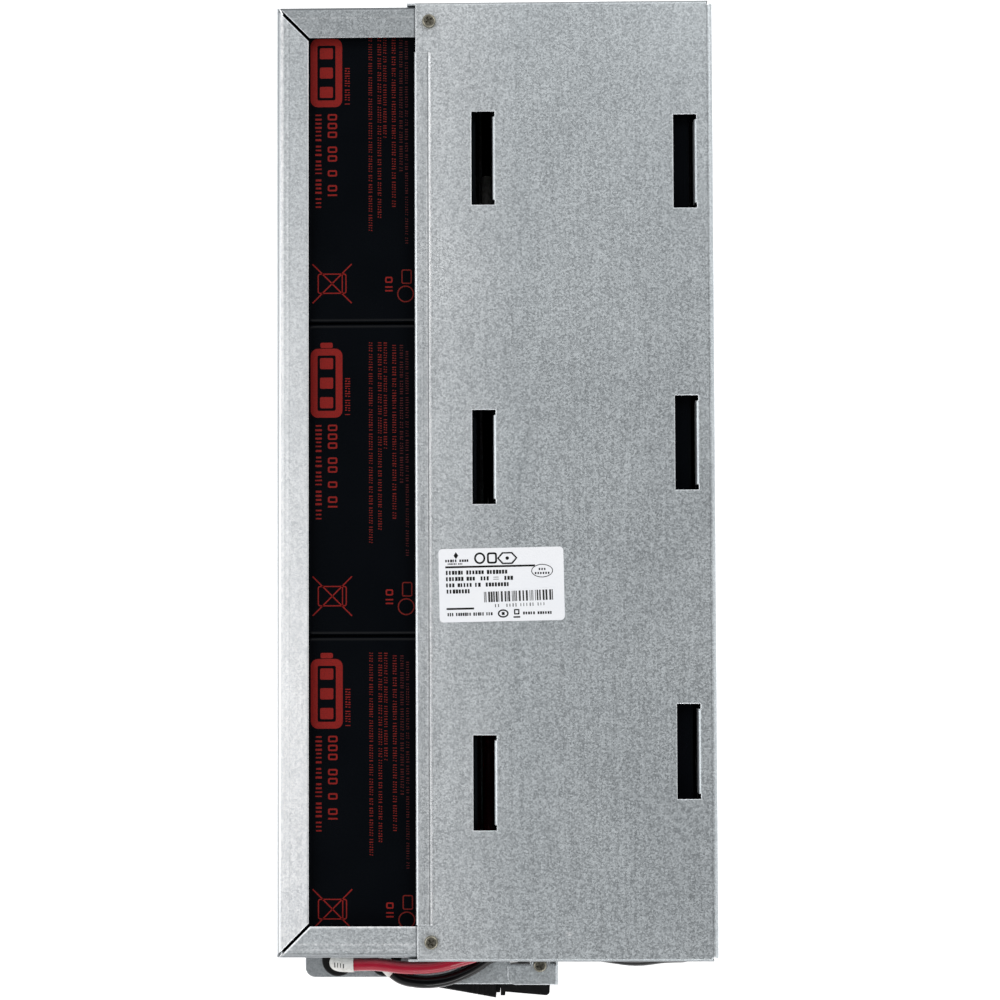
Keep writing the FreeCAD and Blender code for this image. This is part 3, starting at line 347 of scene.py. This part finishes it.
def cover_marks(g):
    """Painted light on the plate's left part, a painted highlight beside the hem's free edge and a
    painted shadow along it, a slightly darker hem with dotted lines, painted shade on the folds and
    along the right fold, and a bright and a dark spot near the front.
    """
    low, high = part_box("top_cover")
    fold = low.x + HEM_FROM_BOX
    hem_end = fold + HEM_WIDTH
    spots_x = 34.3 * MM
    # the span along the hem where a dotted light line is drawn
    rubbed = g.between("Y", low.y + 18 * MM, high.y - 75 * MM, 12 * MM)
    hem = g.between("Y", low.y + HEM_FRONT_INSET, high.y - HEM_REAR_INSET)
    top = g.remap(g.axis("Z"), high.z - 3.0 * MM, high.z - 2.4 * MM, 0.0, 1.0)
    # painted light on the left part and a painted highlight beside the hem's free edge, with a dotted
    # line and a bright spot
    light = g.times(top, g.total(
        g.times(rubbed, g.dashes("X", hem_end - 1.3 * MM, 0.5 * MM, 0.6, along="Y", seed=19.0)),
        g.times(hem, g.line("X", hem_end + 0.15 * MM, 0.8 * MM)),
        g.remap(g.axis("X"), low.x + 16 * MM, low.x + 55 * MM, 0.25, 0.0),
        speck(g, spots_x, low.y + 13.3 * MM, 1.8 * MM, 1.2 * MM, 0.9)))
    # painted shade on the folds, a painted shadow at the hem's free edge, a slightly darker hem with a
    # dotted line, and a dark spot
    dark = g.total(
        shaded_bends(g),
        g.times(top, hem, g.total(
            g.times(g.between("X", fold + 1.2 * MM, hem_end - 1.0 * MM), 0.12),
            g.dashes("X", fold + 4.2 * MM, 0.4 * MM, 0.3, along="Y", seed=17.0),
            g.line("X", hem_end - 0.85 * MM, 0.45 * MM, 0.75))),
        # painted shade along the right fold
        g.times(top, g.line("X", high.x - 2.6 * MM, 0.4 * MM, 0.5)),
        speck(g, spots_x, low.y + 6.2 * MM, 2.8 * MM, 0.45 * MM, 0.7))
    return light, dark


def shelf_marks(g):
    """Painted shade on the shelf at its left end and close to the tray's wall."""
    low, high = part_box("connector_shelf")
    # painted shade
    dark = g.total(g.remap(g.axis("X"), low.x, low.x + 80 * MM, 0.60, 0.0),
                   g.remap(g.axis("Y"), high.y - 7 * MM, high.y - 1 * MM, 0.0, 0.6))
    return 0.0, dark


# ---------------------------------------------------------------- other materials
def battery_case():
    """Moulded black ABS with a soft gloss."""
    g = material_graph("battery_case")
    fine = g.noise(2500, detail=2.0)
    wide = g.noise(35, detail=2.0)
    return g.set(Base_Color=g.blend(wide, (0.0014, 0.0020, 0.0030), (0.0028, 0.0036, 0.0050)),
                 Roughness=g.remap(fine, 0.3, 0.7, 0.15, 0.21), Specular_IOR_Level=0.12,
                 Normal=g.bump(fine, 0.002 * MM, 0.4))


def tinned_metal():
    """Tin plate on brass."""
    g = material_graph("tinned_metal")
    grain = g.noise(1800)
    return g.set(Base_Color=g.blend(grain, (0.55, 0.53, 0.47), (0.74, 0.72, 0.66)), Metallic=1.0,
                 Roughness=g.remap(grain, 0.3, 0.7, 0.28, 0.42), Normal=g.bump(grain, 0.01 * MM, 0.5))


def moulded(name, dark, light, low_rough, high_rough, texture=1600):
    """A fine-textured moulded plastic or rubber."""
    g = material_graph(name)
    grain = g.noise(texture, roughness=0.6)
    return g.set(Base_Color=g.blend(grain, dark, light), Specular_IOR_Level=0.14,
                 Roughness=g.remap(grain, 0.3, 0.7, low_rough, high_rough),
                 Normal=g.bump(grain, 0.03 * MM, 0.6))


def wire_sheath(name, dark, light, low_rough, high_rough, shine):
    """Extruded PVC: smooth, with duller patches, and painted shade on the side that faces the rear."""
    g = material_graph(name)
    patches = g.noise(120)
    fine = g.noise(1400, detail=2.0)
    # painted shade on the side that faces the rear
    rear_shade = g.remap(g.facing("Y"), 0.45, 0.85, 0.0, 0.75)
    return g.set(Base_Color=g.blend(rear_shade, g.blend(patches, dark, light), (0.003, 0.002, 0.002)),
                 Roughness=g.remap(patches, 0.3, 0.7, low_rough, high_rough),
                 Specular_IOR_Level=shine, Coat_Weight=shine, Coat_Roughness=0.05,
                 Normal=g.bump(fine, 0.01 * MM, 0.4))


def zinc_hardware():
    """Zinc-plated steel that has yellowed and dulled a little."""
    g = material_graph("zinc_hardware")
    patches = g.noise(900, detail=4.0, roughness=0.6)
    fine = g.noise(4000, detail=2.0)
    return g.set(Base_Color=g.blend(patches, (0.07, 0.066, 0.05), (0.36, 0.34, 0.28)), Metallic=0.95,
                 Roughness=g.remap(fine, 0.3, 0.7, 0.28, 0.45), Normal=g.bump(patches, 0.03 * MM, 0.6))


def contact_copper():
    """Silver-plated copper, rubbed through in places."""
    g = material_graph("contact_copper")
    patches = g.noise(700, detail=4.0, roughness=0.6)
    return g.set(Base_Color=g.blend(patches, (0.62, 0.33, 0.20), (0.80, 0.76, 0.70)), Metallic=1.0,
                 Roughness=g.remap(patches, 0.3, 0.7, 0.25, 0.4), Normal=g.bump(patches, 0.01 * MM, 0.5))


def label_white():
    """Satin label stock, slightly uneven."""
    g = material_graph("label_white")
    fibres = g.noise(1500)
    clouds = g.noise(60, detail=2.0)
    return g.set(Base_Color=g.blend(clouds, (0.82, 0.84, 0.88), (0.88, 0.89, 0.91)),
                 Roughness=g.remap(fibres, 0.3, 0.7, 0.42, 0.55), Normal=g.bump(fibres, 0.01 * MM, 0.4))


SLEEVE_PRINT_SOFT = 0.05 * MM                # how soft a bar's sides are


def marker_white(name, bars=()):
    """White heat-shrink sleeve, slightly soiled, with the small upright bars of its print.

    Each bar is its middle and half its width across the cartridge, then the same along it. It
    shows above and below, because only these two directions bound it.
    """
    g = material_graph(name)
    soil = g.noise(300, detail=4.0, roughness=0.6)
    colour = g.blend(g.remap(soil, 0.5, 0.75, 0.0, 1.0), (0.80, 0.79, 0.76), (0.55, 0.53, 0.50))
    for x, half_width, y, half_height in bars:
        bar = g.times(g.between("X", x - half_width, x + half_width, SLEEVE_PRINT_SOFT),
                      g.between("Y", y - half_height, y + half_height, SLEEVE_PRINT_SOFT))
        colour = g.blend(bar, colour, (0.02, 0.02, 0.022))
    return g.set(Base_Color=colour, Roughness=g.remap(soil, 0.3, 0.7, 0.4, 0.55),
                 Normal=g.bump(soil, 0.02 * MM, 0.4))


def sleeve_bars(node, first, count, pitch, tall):
    """A row of print bars along the middle of a sleeve, the first so far from its left end."""
    low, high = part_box(node)
    middle = (low.y + high.y) / 2
    rng = random.Random(7)
    return [(low.x + (first + i * pitch) * MM, rng.uniform(0.22, 0.42) * MM,
             middle + rng.uniform(-0.2, 0.2) * MM, tall * rng.uniform(0.8, 1.0) * MM / 2)
            for i in range(count)]


def ink(name, colour, worn):
    """Printed ink: thin, with small breaks where it has not taken."""
    g = material_graph(name)
    breaks = g.noise(2600, roughness=0.65)
    return g.set(Base_Color=g.blend(g.remap(breaks, 0.50, 0.66, 0.0, 1.0), colour, worn),
                 Roughness=g.remap(breaks, 0.3, 0.7, 0.38, 0.55), Specular_IOR_Level=0.14,
                 Normal=g.bump(breaks, 0.005 * MM, 0.4))


SLOT_MATERIALS = {
    "galvanised_sheet": galvanised_sheet(),
    "battery_case": battery_case(),
    "tinned_metal": tinned_metal(),
    "boot_nylon": moulded("boot_nylon", (0.012, 0.012, 0.013), (0.025, 0.025, 0.026), 0.42, 0.6),
    "black_wire": wire_sheath("black_wire", (0.002, 0.002, 0.0025), (0.004, 0.004, 0.0045),
                              0.10, 0.18, shine=0.18),
    "red_wire": wire_sheath("red_wire", (0.34, 0.010, 0.028), (0.45, 0.016, 0.042),
                            0.16, 0.24, shine=0.35),
    "marker_white": marker_white("marker_white"),
    "grommet_rubber": moulded("grommet_rubber", (0.002, 0.002, 0.002), (0.005, 0.005, 0.005),
                              0.45, 0.65),
    "bush_nylon": moulded("bush_nylon", (0.010, 0.010, 0.010), (0.020, 0.020, 0.020), 0.45, 0.6),
    "zinc_hardware": zinc_hardware(),
    "connector_black": moulded("connector_black", (0.002, 0.002, 0.0025), (0.006, 0.006, 0.0065),
                               0.40, 0.58, texture=900),
    "contact_copper": contact_copper(),
    "label_white": label_white(),
}
NODE_MATERIALS = {                           # nodes with marks of their own
    "battery_tray": galvanised_sheet("tray_sheet", tray_marks),
    "top_cover": galvanised_sheet("cover_sheet", cover_marks),
    "connector_shelf": galvanised_sheet("shelf_sheet", shelf_marks),
    "red_lead_marker": marker_white("red_sleeve", sleeve_bars("red_lead_marker", 3.4, 4, 1.5, 2.6)),
}
INKS = {
    "red": ink("red_ink", (0.21, 0.010, 0.008), (0.11, 0.007, 0.006)),
    "fine_red": ink("fine_red_ink", (0.16, 0.011, 0.008), (0.05, 0.005, 0.005)),
    # a darker red for the two fine rows nearest the cover's edge: painted shade from the cover
    "shaded_red": ink("dim_red_ink", (0.065, 0.008, 0.008), (0.025, 0.004, 0.004)),
    "black": ink("black_ink", (0.004, 0.004, 0.004), (0.02, 0.02, 0.02)),
    "grey": ink("grey_ink", (0.020, 0.020, 0.021), (0.09, 0.09, 0.09)),
}


def dress_cad_nodes():
    """Give every CAD node its own material or that of its slot."""
    for part in frame["record"]["subparts"]:
        materials = frame["nodes"][part["node"]].data.materials
        materials.clear()
        materials.append(NODE_MATERIALS.get(part["node"]) or SLOT_MATERIALS[part["material_slot"]])


# ---------------------------------------------------------------- print
INK_FROM, INK_TO = 0.01 * MM, 0.04 * MM      # above the printed surface


class Print:
    """Flat printed shapes, in millimetres, gathered into one thin mesh just above a surface.

    place turns a point of the print's own plane into X and Y, and surface is the Z below the ink.
    tint is the number of the ink that the next shapes take.
    """

    def __init__(self, name, place, surface, *inks):
        self.name, self.place, self.inks = name, place, inks
        self.levels = (surface + INK_FROM, surface + INK_TO)
        self.mesh = bmesh.new()
        self.tint = 0

    def lift(self, loop):
        return [[self.mesh.verts.new((*self.place(u * MM, v * MM), level)) for u, v in loop]
                for level in self.levels]

    def face(self, corners):
        self.mesh.faces.new(corners).material_index = self.tint

    def walls(self, lower, upper):
        count = len(lower)
        for i in range(count):
            self.face((lower[i], lower[(i + 1) % count], upper[(i + 1) % count], upper[i]))

    def shape(self, loop):
        """A filled outline."""
        lower, upper = self.lift(loop)
        self.face(upper)
        self.face(lower)
        self.walls(lower, upper)

    def band(self, outer, inner):
        """The strip between two outlines with as many points."""
        outer_low, outer_high = self.lift(outer)
        inner_low, inner_high = self.lift(inner)
        self.walls(outer_low, outer_high)
        self.walls(inner_low, inner_high)
        self.walls(outer_low, inner_low)
        self.walls(outer_high, inner_high)

    def bar(self, u, v, width, height):
        """A plain bar by its middle and its size."""
        self.shape(rounded_loop(width, height, 0.0, (u, v), 0))

    def frame(self, centre, width, height, stroke, radius, inner_radius):
        """The outline of a rounded rectangle."""
        self.band(rounded_loop(width, height, radius, centre),
                  rounded_loop(width - 2 * stroke, height - 2 * stroke, inner_radius, centre))

    def oval(self, centre, width, height, stroke, steps=28):
        """The outline of an oval."""
        self.band(oval_loop(width, height, centre, steps),
                  oval_loop(width - 2 * stroke, height - 2 * stroke, centre, steps))

    def stroke(self, start, end, width):
        """A straight stroke between two points."""
        length = math.dist(start, end)
        side_u = (end[1] - start[1]) / length * width / 2
        side_v = (start[0] - end[0]) / length * width / 2
        self.shape([(start[0] + side_u, start[1] + side_v), (end[0] + side_u, end[1] + side_v),
                    (end[0] - side_u, end[1] - side_v), (start[0] - side_u, start[1] - side_v)])

    def finish(self):
        bmesh.ops.recalc_face_normals(self.mesh, faces=self.mesh.faces)
        mesh = bpy.data.meshes.new(self.name)
        self.mesh.to_mesh(mesh)
        self.mesh.free()
        for material in self.inks:
            mesh.materials.append(material)
        made = bpy.data.objects.new(self.name, mesh)
        bpy.context.scene.collection.objects.link(made)
        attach(made, "root")


def rounded_loop(width, height, radius, centre=(0.0, 0.0), steps=4):
    """A rounded rectangle's outline, anticlockwise; no steps give plain corners."""
    loop = []
    for turn, (side_u, side_v) in enumerate(((1, -1), (1, 1), (-1, 1), (-1, -1))):
        for step in range(steps + 1):
            angle = math.radians(90 * (turn - 1 + step / max(steps, 1)))
            loop.append((centre[0] + side_u * (width / 2 - radius) + radius * math.cos(angle),
                         centre[1] + side_v * (height / 2 - radius) + radius * math.sin(angle)))
    return loop


def oval_loop(width, height, centre, steps):
    angles = [2 * math.pi * step / steps for step in range(steps)]
    return [(centre[0] + width / 2 * math.cos(a), centre[1] + height / 2 * math.sin(a)) for a in angles]


def word_bars(start, end, letter, gap, seed):
    """Each letter-sized bar of a line of small print, in words of three to nine: place, width, share."""
    rng = random.Random(seed)
    position = start
    while position < end - letter:
        for _ in range(rng.randint(3, 9)):
            if position > end - letter:
                return
            yield position, letter * rng.uniform(0.7, 1.15), rng.uniform(0.75, 1.0)
            position += letter + gap
        position += letter


# The print on a block, in millimetres from its left side (across) and from its rear end (along)
EMBLEM = (21.6, 26.0, 15.4, 36.5)                     # middle across and along, width and length
EMBLEM_STROKE = 3.3
EMBLEM_CAP = (6.0, 2.6)
EMBLEM_CELLS = (-8.0, 1.5, 11.0)                      # along, from its middle
EMBLEM_CELL_LENGTH, EMBLEM_CELL_GAP = 5.4, 1.2
LARGE_LINE = (24.5, 47.7, 90.1, 4.6)                  # middle across, start and end along, height
LARGE_STROKE, LARGE_RING, LARGE_GAP = 0.8, 3.1, 1.2
MIDDLE_LINE = (17.7, 47.7, 95.9, 3.3)
# ink 2 is the darker red, painted shade for the rows nearest the cover's edge
FINE_LINES = (                                        # middle across, start and end along, height, ink
    (31.8, 25.0, 44.0, 2.6, 0), (43.0, 7.7, 107.0, 1.9, 1), (47.4, 7.7, 99.5, 1.9, 1),
    (50.1, 7.7, 60.0, 1.7, 1), (54.4, 9.0, 94.0, 2.0, 1), (57.9, 9.0, 76.5, 1.7, 2),
    (60.6, 12.0, 113.0, 1.5, 2),
)
CROSSED_MARK = (24.3, 130.6, 19.0)                    # middle across and along, and size
SMALL_MARK = (51.9, 130.8, 3.6)
RING_MARK = (60.0, 135.8, 8.2)
PLATE_MARK = (60.5, 127.4, 5.0, 7.0)
THIN_STROKE = 0.55
PRINT_SHIFTS = (0.0, 1.4, 1.4)                        # how far forward each block's print is moved


def emblem(printed):
    """A generic battery sign with three cells."""
    across, along, width, length = EMBLEM
    cap_width, cap_height = EMBLEM_CAP
    body = length - 3
    printed.frame((across, along + 1.5), width, body, EMBLEM_STROKE, 3.4, 0.8)
    printed.shape(rounded_loop(cap_width, cap_height, 0.8, (across, along - length / 2 + 1.4)))
    cell_width = width - 2 * EMBLEM_STROKE - 2 * EMBLEM_CELL_GAP
    for step in EMBLEM_CELLS:
        printed.shape(rounded_loop(cell_width, EMBLEM_CELL_LENGTH, 0.7, (across, along + step)))


def large_line(printed):
    """Large print: rings, and now and then a thin bar or a gap between words."""
    across, start, end, height = LARGE_LINE
    rng = random.Random(11)
    position = start
    while position < end - 3:
        if rng.random() < 0.2:
            position += 3.0
        if rng.random() < 0.3:
            printed.bar(across, position + 0.6, height, LARGE_STROKE)
            position += 2 * LARGE_GAP
            continue
        printed.frame((across, position + 1.5), height, LARGE_RING, LARGE_STROKE, 0.9, 0.3)
        position += LARGE_RING + LARGE_GAP


def middle_line(printed):
    across, start, end, height = MIDDLE_LINE
    for position, letter, share in word_bars(start, end, letter=1.25, gap=0.75, seed=5):
        printed.bar(across, position + letter / 2, height * share, letter * 0.72)


def fine_lines(printed):
    """Small print: whole bars, and bars that are broken in the middle."""
    for row, (across, start, end, height, tint) in enumerate(FINE_LINES):
        printed.tint = tint
        for position, letter, share in word_bars(start, end, letter=0.80, gap=0.42, seed=20 + row):
            middle = position + letter / 2
            if share > 0.87:
                printed.bar(across, middle, height * share, letter * 0.6)
                continue
            for side in (-1, 1):
                printed.bar(across + side * height * 0.28, middle + side * 0.1,
                            height * 0.34, letter * 0.7)
    printed.tint = 0


def front_marks(printed):
    """A crossed frame, a small mark of a frame and two bars, a ring and a plate."""
    across, along, size = CROSSED_MARK
    half = size / 2
    printed.frame((across, along), size * 0.74, size * 0.52, THIN_STROKE, 1.2, 0.7)
    printed.bar(across + size * 0.26, along, 0.5, size * 0.5)
    for side in (-1, 1):
        printed.stroke((across - half, along - side * half), (across + half, along + side * half), 0.6)
    across, along, size = SMALL_MARK
    printed.frame((across, along - 1.9), size, 3.0, 0.7, 0.8, 0.3)
    printed.bar(across, along + 1.6, size, 0.7)
    printed.bar(across, along + 3.4, size, 0.7)
    printed.tint = 1
    across, along, size = RING_MARK
    printed.oval((across, along), size, size, 0.6)
    across, along, width, length = PLATE_MARK
    printed.frame((across, along), width, length, THIN_STROKE, 0.9, 0.4)
    printed.tint = 0


def block_print(number):
    """Generic red print on the upper side of a block."""
    low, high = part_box("battery_%d" % number)
    rear = high.y - PRINT_SHIFTS[number - 1] * MM
    printed = Print("block_print_%d" % number, lambda u, v: (low.x + u, rear - v), high.z,
                    INKS["red"], INKS["fine_red"], INKS["shaded_red"])
    for part in (emblem, large_line, middle_line, fine_lines, front_marks):
        part(printed)
    printed.finish()


# The print on the rating label and its sticker, in millimetres from their middles
LABEL_TURN = math.radians(1.05)
STICKER_TURN = math.radians(2.1)
RATING_ROWS = (                                       # start, end, middle, letter height, letter, gap
    (-26.8, -15.4, 11.8, 1.3, 0.95, 0.22), (-25.6, -17.8, 10.3, 0.8, 0.55, 0.2),
    (-26.6, -18.0, 6.1, 2.0, 1.15, 0.3), (-16.8, 3.6, 6.1, 2.0, 1.15, 0.3),
    (-26.6, -11.5, 3.1, 2.0, 1.15, 0.3), (-10.0, -5.4, 3.1, 2.0, 1.15, 0.3),
    (1.4, 5.8, 3.1, 2.0, 1.15, 0.3),
    (-26.6, -9.4, 0.1, 2.0, 1.15, 0.3), (-7.6, 4.6, 0.1, 2.0, 1.15, 0.3),
    (-26.4, -12.6, -2.9, 2.0, 1.15, 0.3), (-26.2, -3.8, -13.9, 1.6, 0.85, 0.22),
    (10.0, 24.8, -13.9, 1.4, 0.95, 0.25),
)
DIAMOND = ((-21.6, 12.6), (-20.5, 14.3), (-21.6, 16.0), (-22.7, 14.3))
OVAL_SIGNS = (                                        # middle, width, height, stroke, steps
    ((-10.2, 12.8), 5.4, 5.6, 0.9, 24), ((19.6, 6.2), 10.4, 6.4, 0.35, 28),
    ((0.5, -13.9), 5.2, 4.0, 0.7, 20),
)
FRAME_SIGNS = (                                       # middle, width, height, stroke and two radii
    ((-4.3, 12.8), 4.8, 5.4, 0.9, 1.2, 0.5), ((7.0, -13.2), 2.6, 2.6, 0.6, 0.3, 0.1),
)
RATING_BARS = (                                       # middle, width, height
    (-5.3, 8.8, 43.0, 0.92), (-20.0, -11.2, 13.2, 0.9), (-2.6, 2.6, 2.6, 0.25), (-2.6, 3.6, 2.6, 0.25),
    (0.5, -13.9, 1.4, 1.4), (7.0, -15.7, 3.2, 0.7),
)
HEXAGON_CENTRE = (3.0, 12.6)
HEXAGON_OUTER, HEXAGON_INNER = (4.9, 3.3), (4.0, 2.5)  # half widths and half heights
HEXAGON_DOT = 1.7
HEXAGON_ANGLES = [math.radians(60 * step) for step in range(6)]
STAMP_ROWS = ((3, 7.0), (6, 5.1))                     # how many bars, and their middle
STAMP_MIDDLE, STAMP_PITCH = 19.6, 1.25
STAMP_BAR = (0.7, 1.0)
CODE_LINE = (-15.1, 17.8, 1.3, 5.0)                   # start, end, middle, height
CODE_WIDTHS = (0.3, 0.3, 0.45, 0.7, 0.9)
CODE_GAPS = (0.3, 0.35, 0.5, 0.9)
SERIAL_WORDS = ((-10.3, -7.0), (-4.8, 15.2))          # start and end
SERIAL_MIDDLE, SERIAL_HEIGHT = -3.0, 1.7


def turned_place(node, turn):
    """A place function for print that is turned about the middle of a thin label, and its surface."""
    low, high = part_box(node)
    middle = (low + high) / 2

    def place(u, v):
        return (middle.x + u * math.cos(turn) - v * math.sin(turn),
                middle.y + u * math.sin(turn) + v * math.cos(turn))
    return place, high.z


def hexagon_loop(half_width, half_height):
    u, v = HEXAGON_CENTRE
    return [(u + half_width * math.cos(a), v + half_height * math.sin(a)) for a in HEXAGON_ANGLES]


def rating_print():
    """Generic black print on the rating label: signs, rules, rows of bars and an oval stamp."""
    printed = Print("rating_print", *turned_place("rating_label", LABEL_TURN), INKS["black"])
    printed.shape(DIAMOND)
    for row, (start, end, middle, tall, letter, gap) in enumerate(RATING_ROWS):
        for position, wide, share in word_bars(start, end, letter, gap, seed=60 + row):
            printed.bar(position + wide / 2, middle, wide * 0.92, tall * (0.5 + share / 2))
    for oval in OVAL_SIGNS:
        printed.oval(*oval)
    for outline in FRAME_SIGNS:
        printed.frame(*outline)
    for bar in RATING_BARS:
        printed.bar(*bar)
    printed.band(hexagon_loop(*HEXAGON_OUTER), hexagon_loop(*HEXAGON_INNER))
    printed.shape(oval_loop(HEXAGON_DOT, HEXAGON_DOT, HEXAGON_CENTRE, 16))
    for count, middle in STAMP_ROWS:
        for i in range(count):
            printed.bar(STAMP_MIDDLE + (i - (count - 1) / 2) * STAMP_PITCH, middle, *STAMP_BAR)
    printed.finish()


def serial_print():
    """Upright bars of many widths and a row of small bars below them."""
    printed = Print("serial_print", *turned_place("serial_label", STICKER_TURN), INKS["grey"])
    rng = random.Random(3)
    position, end, middle, height = CODE_LINE
    while position < end:
        width = rng.choice(CODE_WIDTHS)
        printed.bar(position + width / 2, middle, width, height)
        position += width + rng.choice(CODE_GAPS)
    for start, end in SERIAL_WORDS:
        for position, wide, share in word_bars(start, end, letter=0.95, gap=0.5, seed=90):
            printed.bar(position + wide / 2, SERIAL_MIDDLE, wide * 0.45, SERIAL_HEIGHT * share)
    printed.finish()


# ---------------------------------------------------------------- studio
def camera():
    made = bpy.data.objects.new("camera", bpy.data.cameras.new("camera"))
    bpy.context.scene.collection.objects.link(made)
    made.data.lens = CAMERA_LENS
    made.data.sensor_width = CAMERA_SENSOR
    made.data.clip_end = CAMERA_REACH
    x, y, z = CAMERA_TILT
    turn = Matrix.Rotation(x, 4, "X") @ Matrix.Rotation(y, 4, "Y") @ Matrix.Rotation(z, 4, "Z")
    made.matrix_world = Matrix.Translation(CAMERA_PLACE) @ turn
    bpy.context.scene.camera = made


def softbox(name, place, size, power):
    """A rectangular lamp that faces the object."""
    lamp = bpy.data.lights.new(name, "AREA")
    lamp.shape = "RECTANGLE"
    lamp.size, lamp.size_y = size
    lamp.energy = power
    made = bpy.data.objects.new(name, lamp)
    bpy.context.scene.collection.objects.link(made)
    made.location = place
    made.rotation_euler = (-Vector(place)).to_track_quat("-Z", "Y").to_euler()


def mirrored_rays(g, path):
    """1 for what a mirror or glass shows."""
    return g.calc("MAXIMUM", path["Is Glossy Ray"], path["Is Transmission Ray"])


def world():
    """A pale room that is dim straight overhead, so that glossy black stays black."""
    g = Graph(bpy.data.worlds.new("studio"), "Background", "Generated")
    bpy.context.scene.world = g.owner
    path = g.node("ShaderNodeLightPath").outputs
    overhead = g.remap(g.axis("Z"), OVERHEAD_FROM, OVERHEAD_FULL, 1.0, OVERHEAD_LEVEL)
    level = g.remap(mirrored_rays(g, path), 0.0, 1.0, ROOM_LEVEL, 1.0)
    seen = g.node("ShaderNodeMix")
    g.feed(seen.inputs["Factor"], path["Is Camera Ray"])
    g.feed(seen.inputs["A"], g.times(overhead, level))
    g.feed(seen.inputs["B"], 1.0)
    g.set(Color=(1.0, 1.0, 1.0), Strength=seen.outputs["Result"])


def floor():
    """A pale floor that stays white to the camera and keeps the object's shadow.

    It is open under the tray, so that it doesn't overlap the tray's flat underside.
    """
    low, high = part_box("battery_tray")
    inset = Vector((FLOOR_INSET, FLOOR_INSET, 0))
    outside = (Vector((-FLOOR_HALF, -FLOOR_HALF, 0)), Vector((FLOOR_HALF, FLOOR_HALF, 0)))
    corners = []
    for near, far in (outside, (low + inset, high - inset)):
        corners += [(near.x, near.y, 0), (far.x, near.y, 0), (far.x, far.y, 0), (near.x, far.y, 0)]
    mesh = bpy.data.meshes.new("floor")
    mesh.from_pydata(corners, [], [(i, (i + 1) % 4, (i + 1) % 4 + 4, i + 4) for i in range(4)])
    made = bpy.data.objects.new("floor", mesh)
    bpy.context.scene.collection.objects.link(made)
    g = material_graph("floor")
    path = g.node("ShaderNodeLightPath").outputs
    glow = g.times(g.calc("MAXIMUM", path["Is Camera Ray"], mirrored_rays(g, path)), FLOOR_GLOW)
    mesh.materials.append(g.set(Base_Color=(FLOOR_WHITE, FLOOR_WHITE, FLOOR_WHITE), Roughness=0.9,
                                Emission_Color=(1.0, 1.0, 1.0), Emission_Strength=glow))


def studio():
    bpy.context.scene.view_settings.view_transform = "Standard"
    camera()
    world()
    floor()
    for name, place, size, power in SOFTBOXES:
        softbox(name, place, size, power)


dress_cad_nodes()
for number in (1, 2, 3):
    block_print(number)
rating_print()
serial_print()
studio()
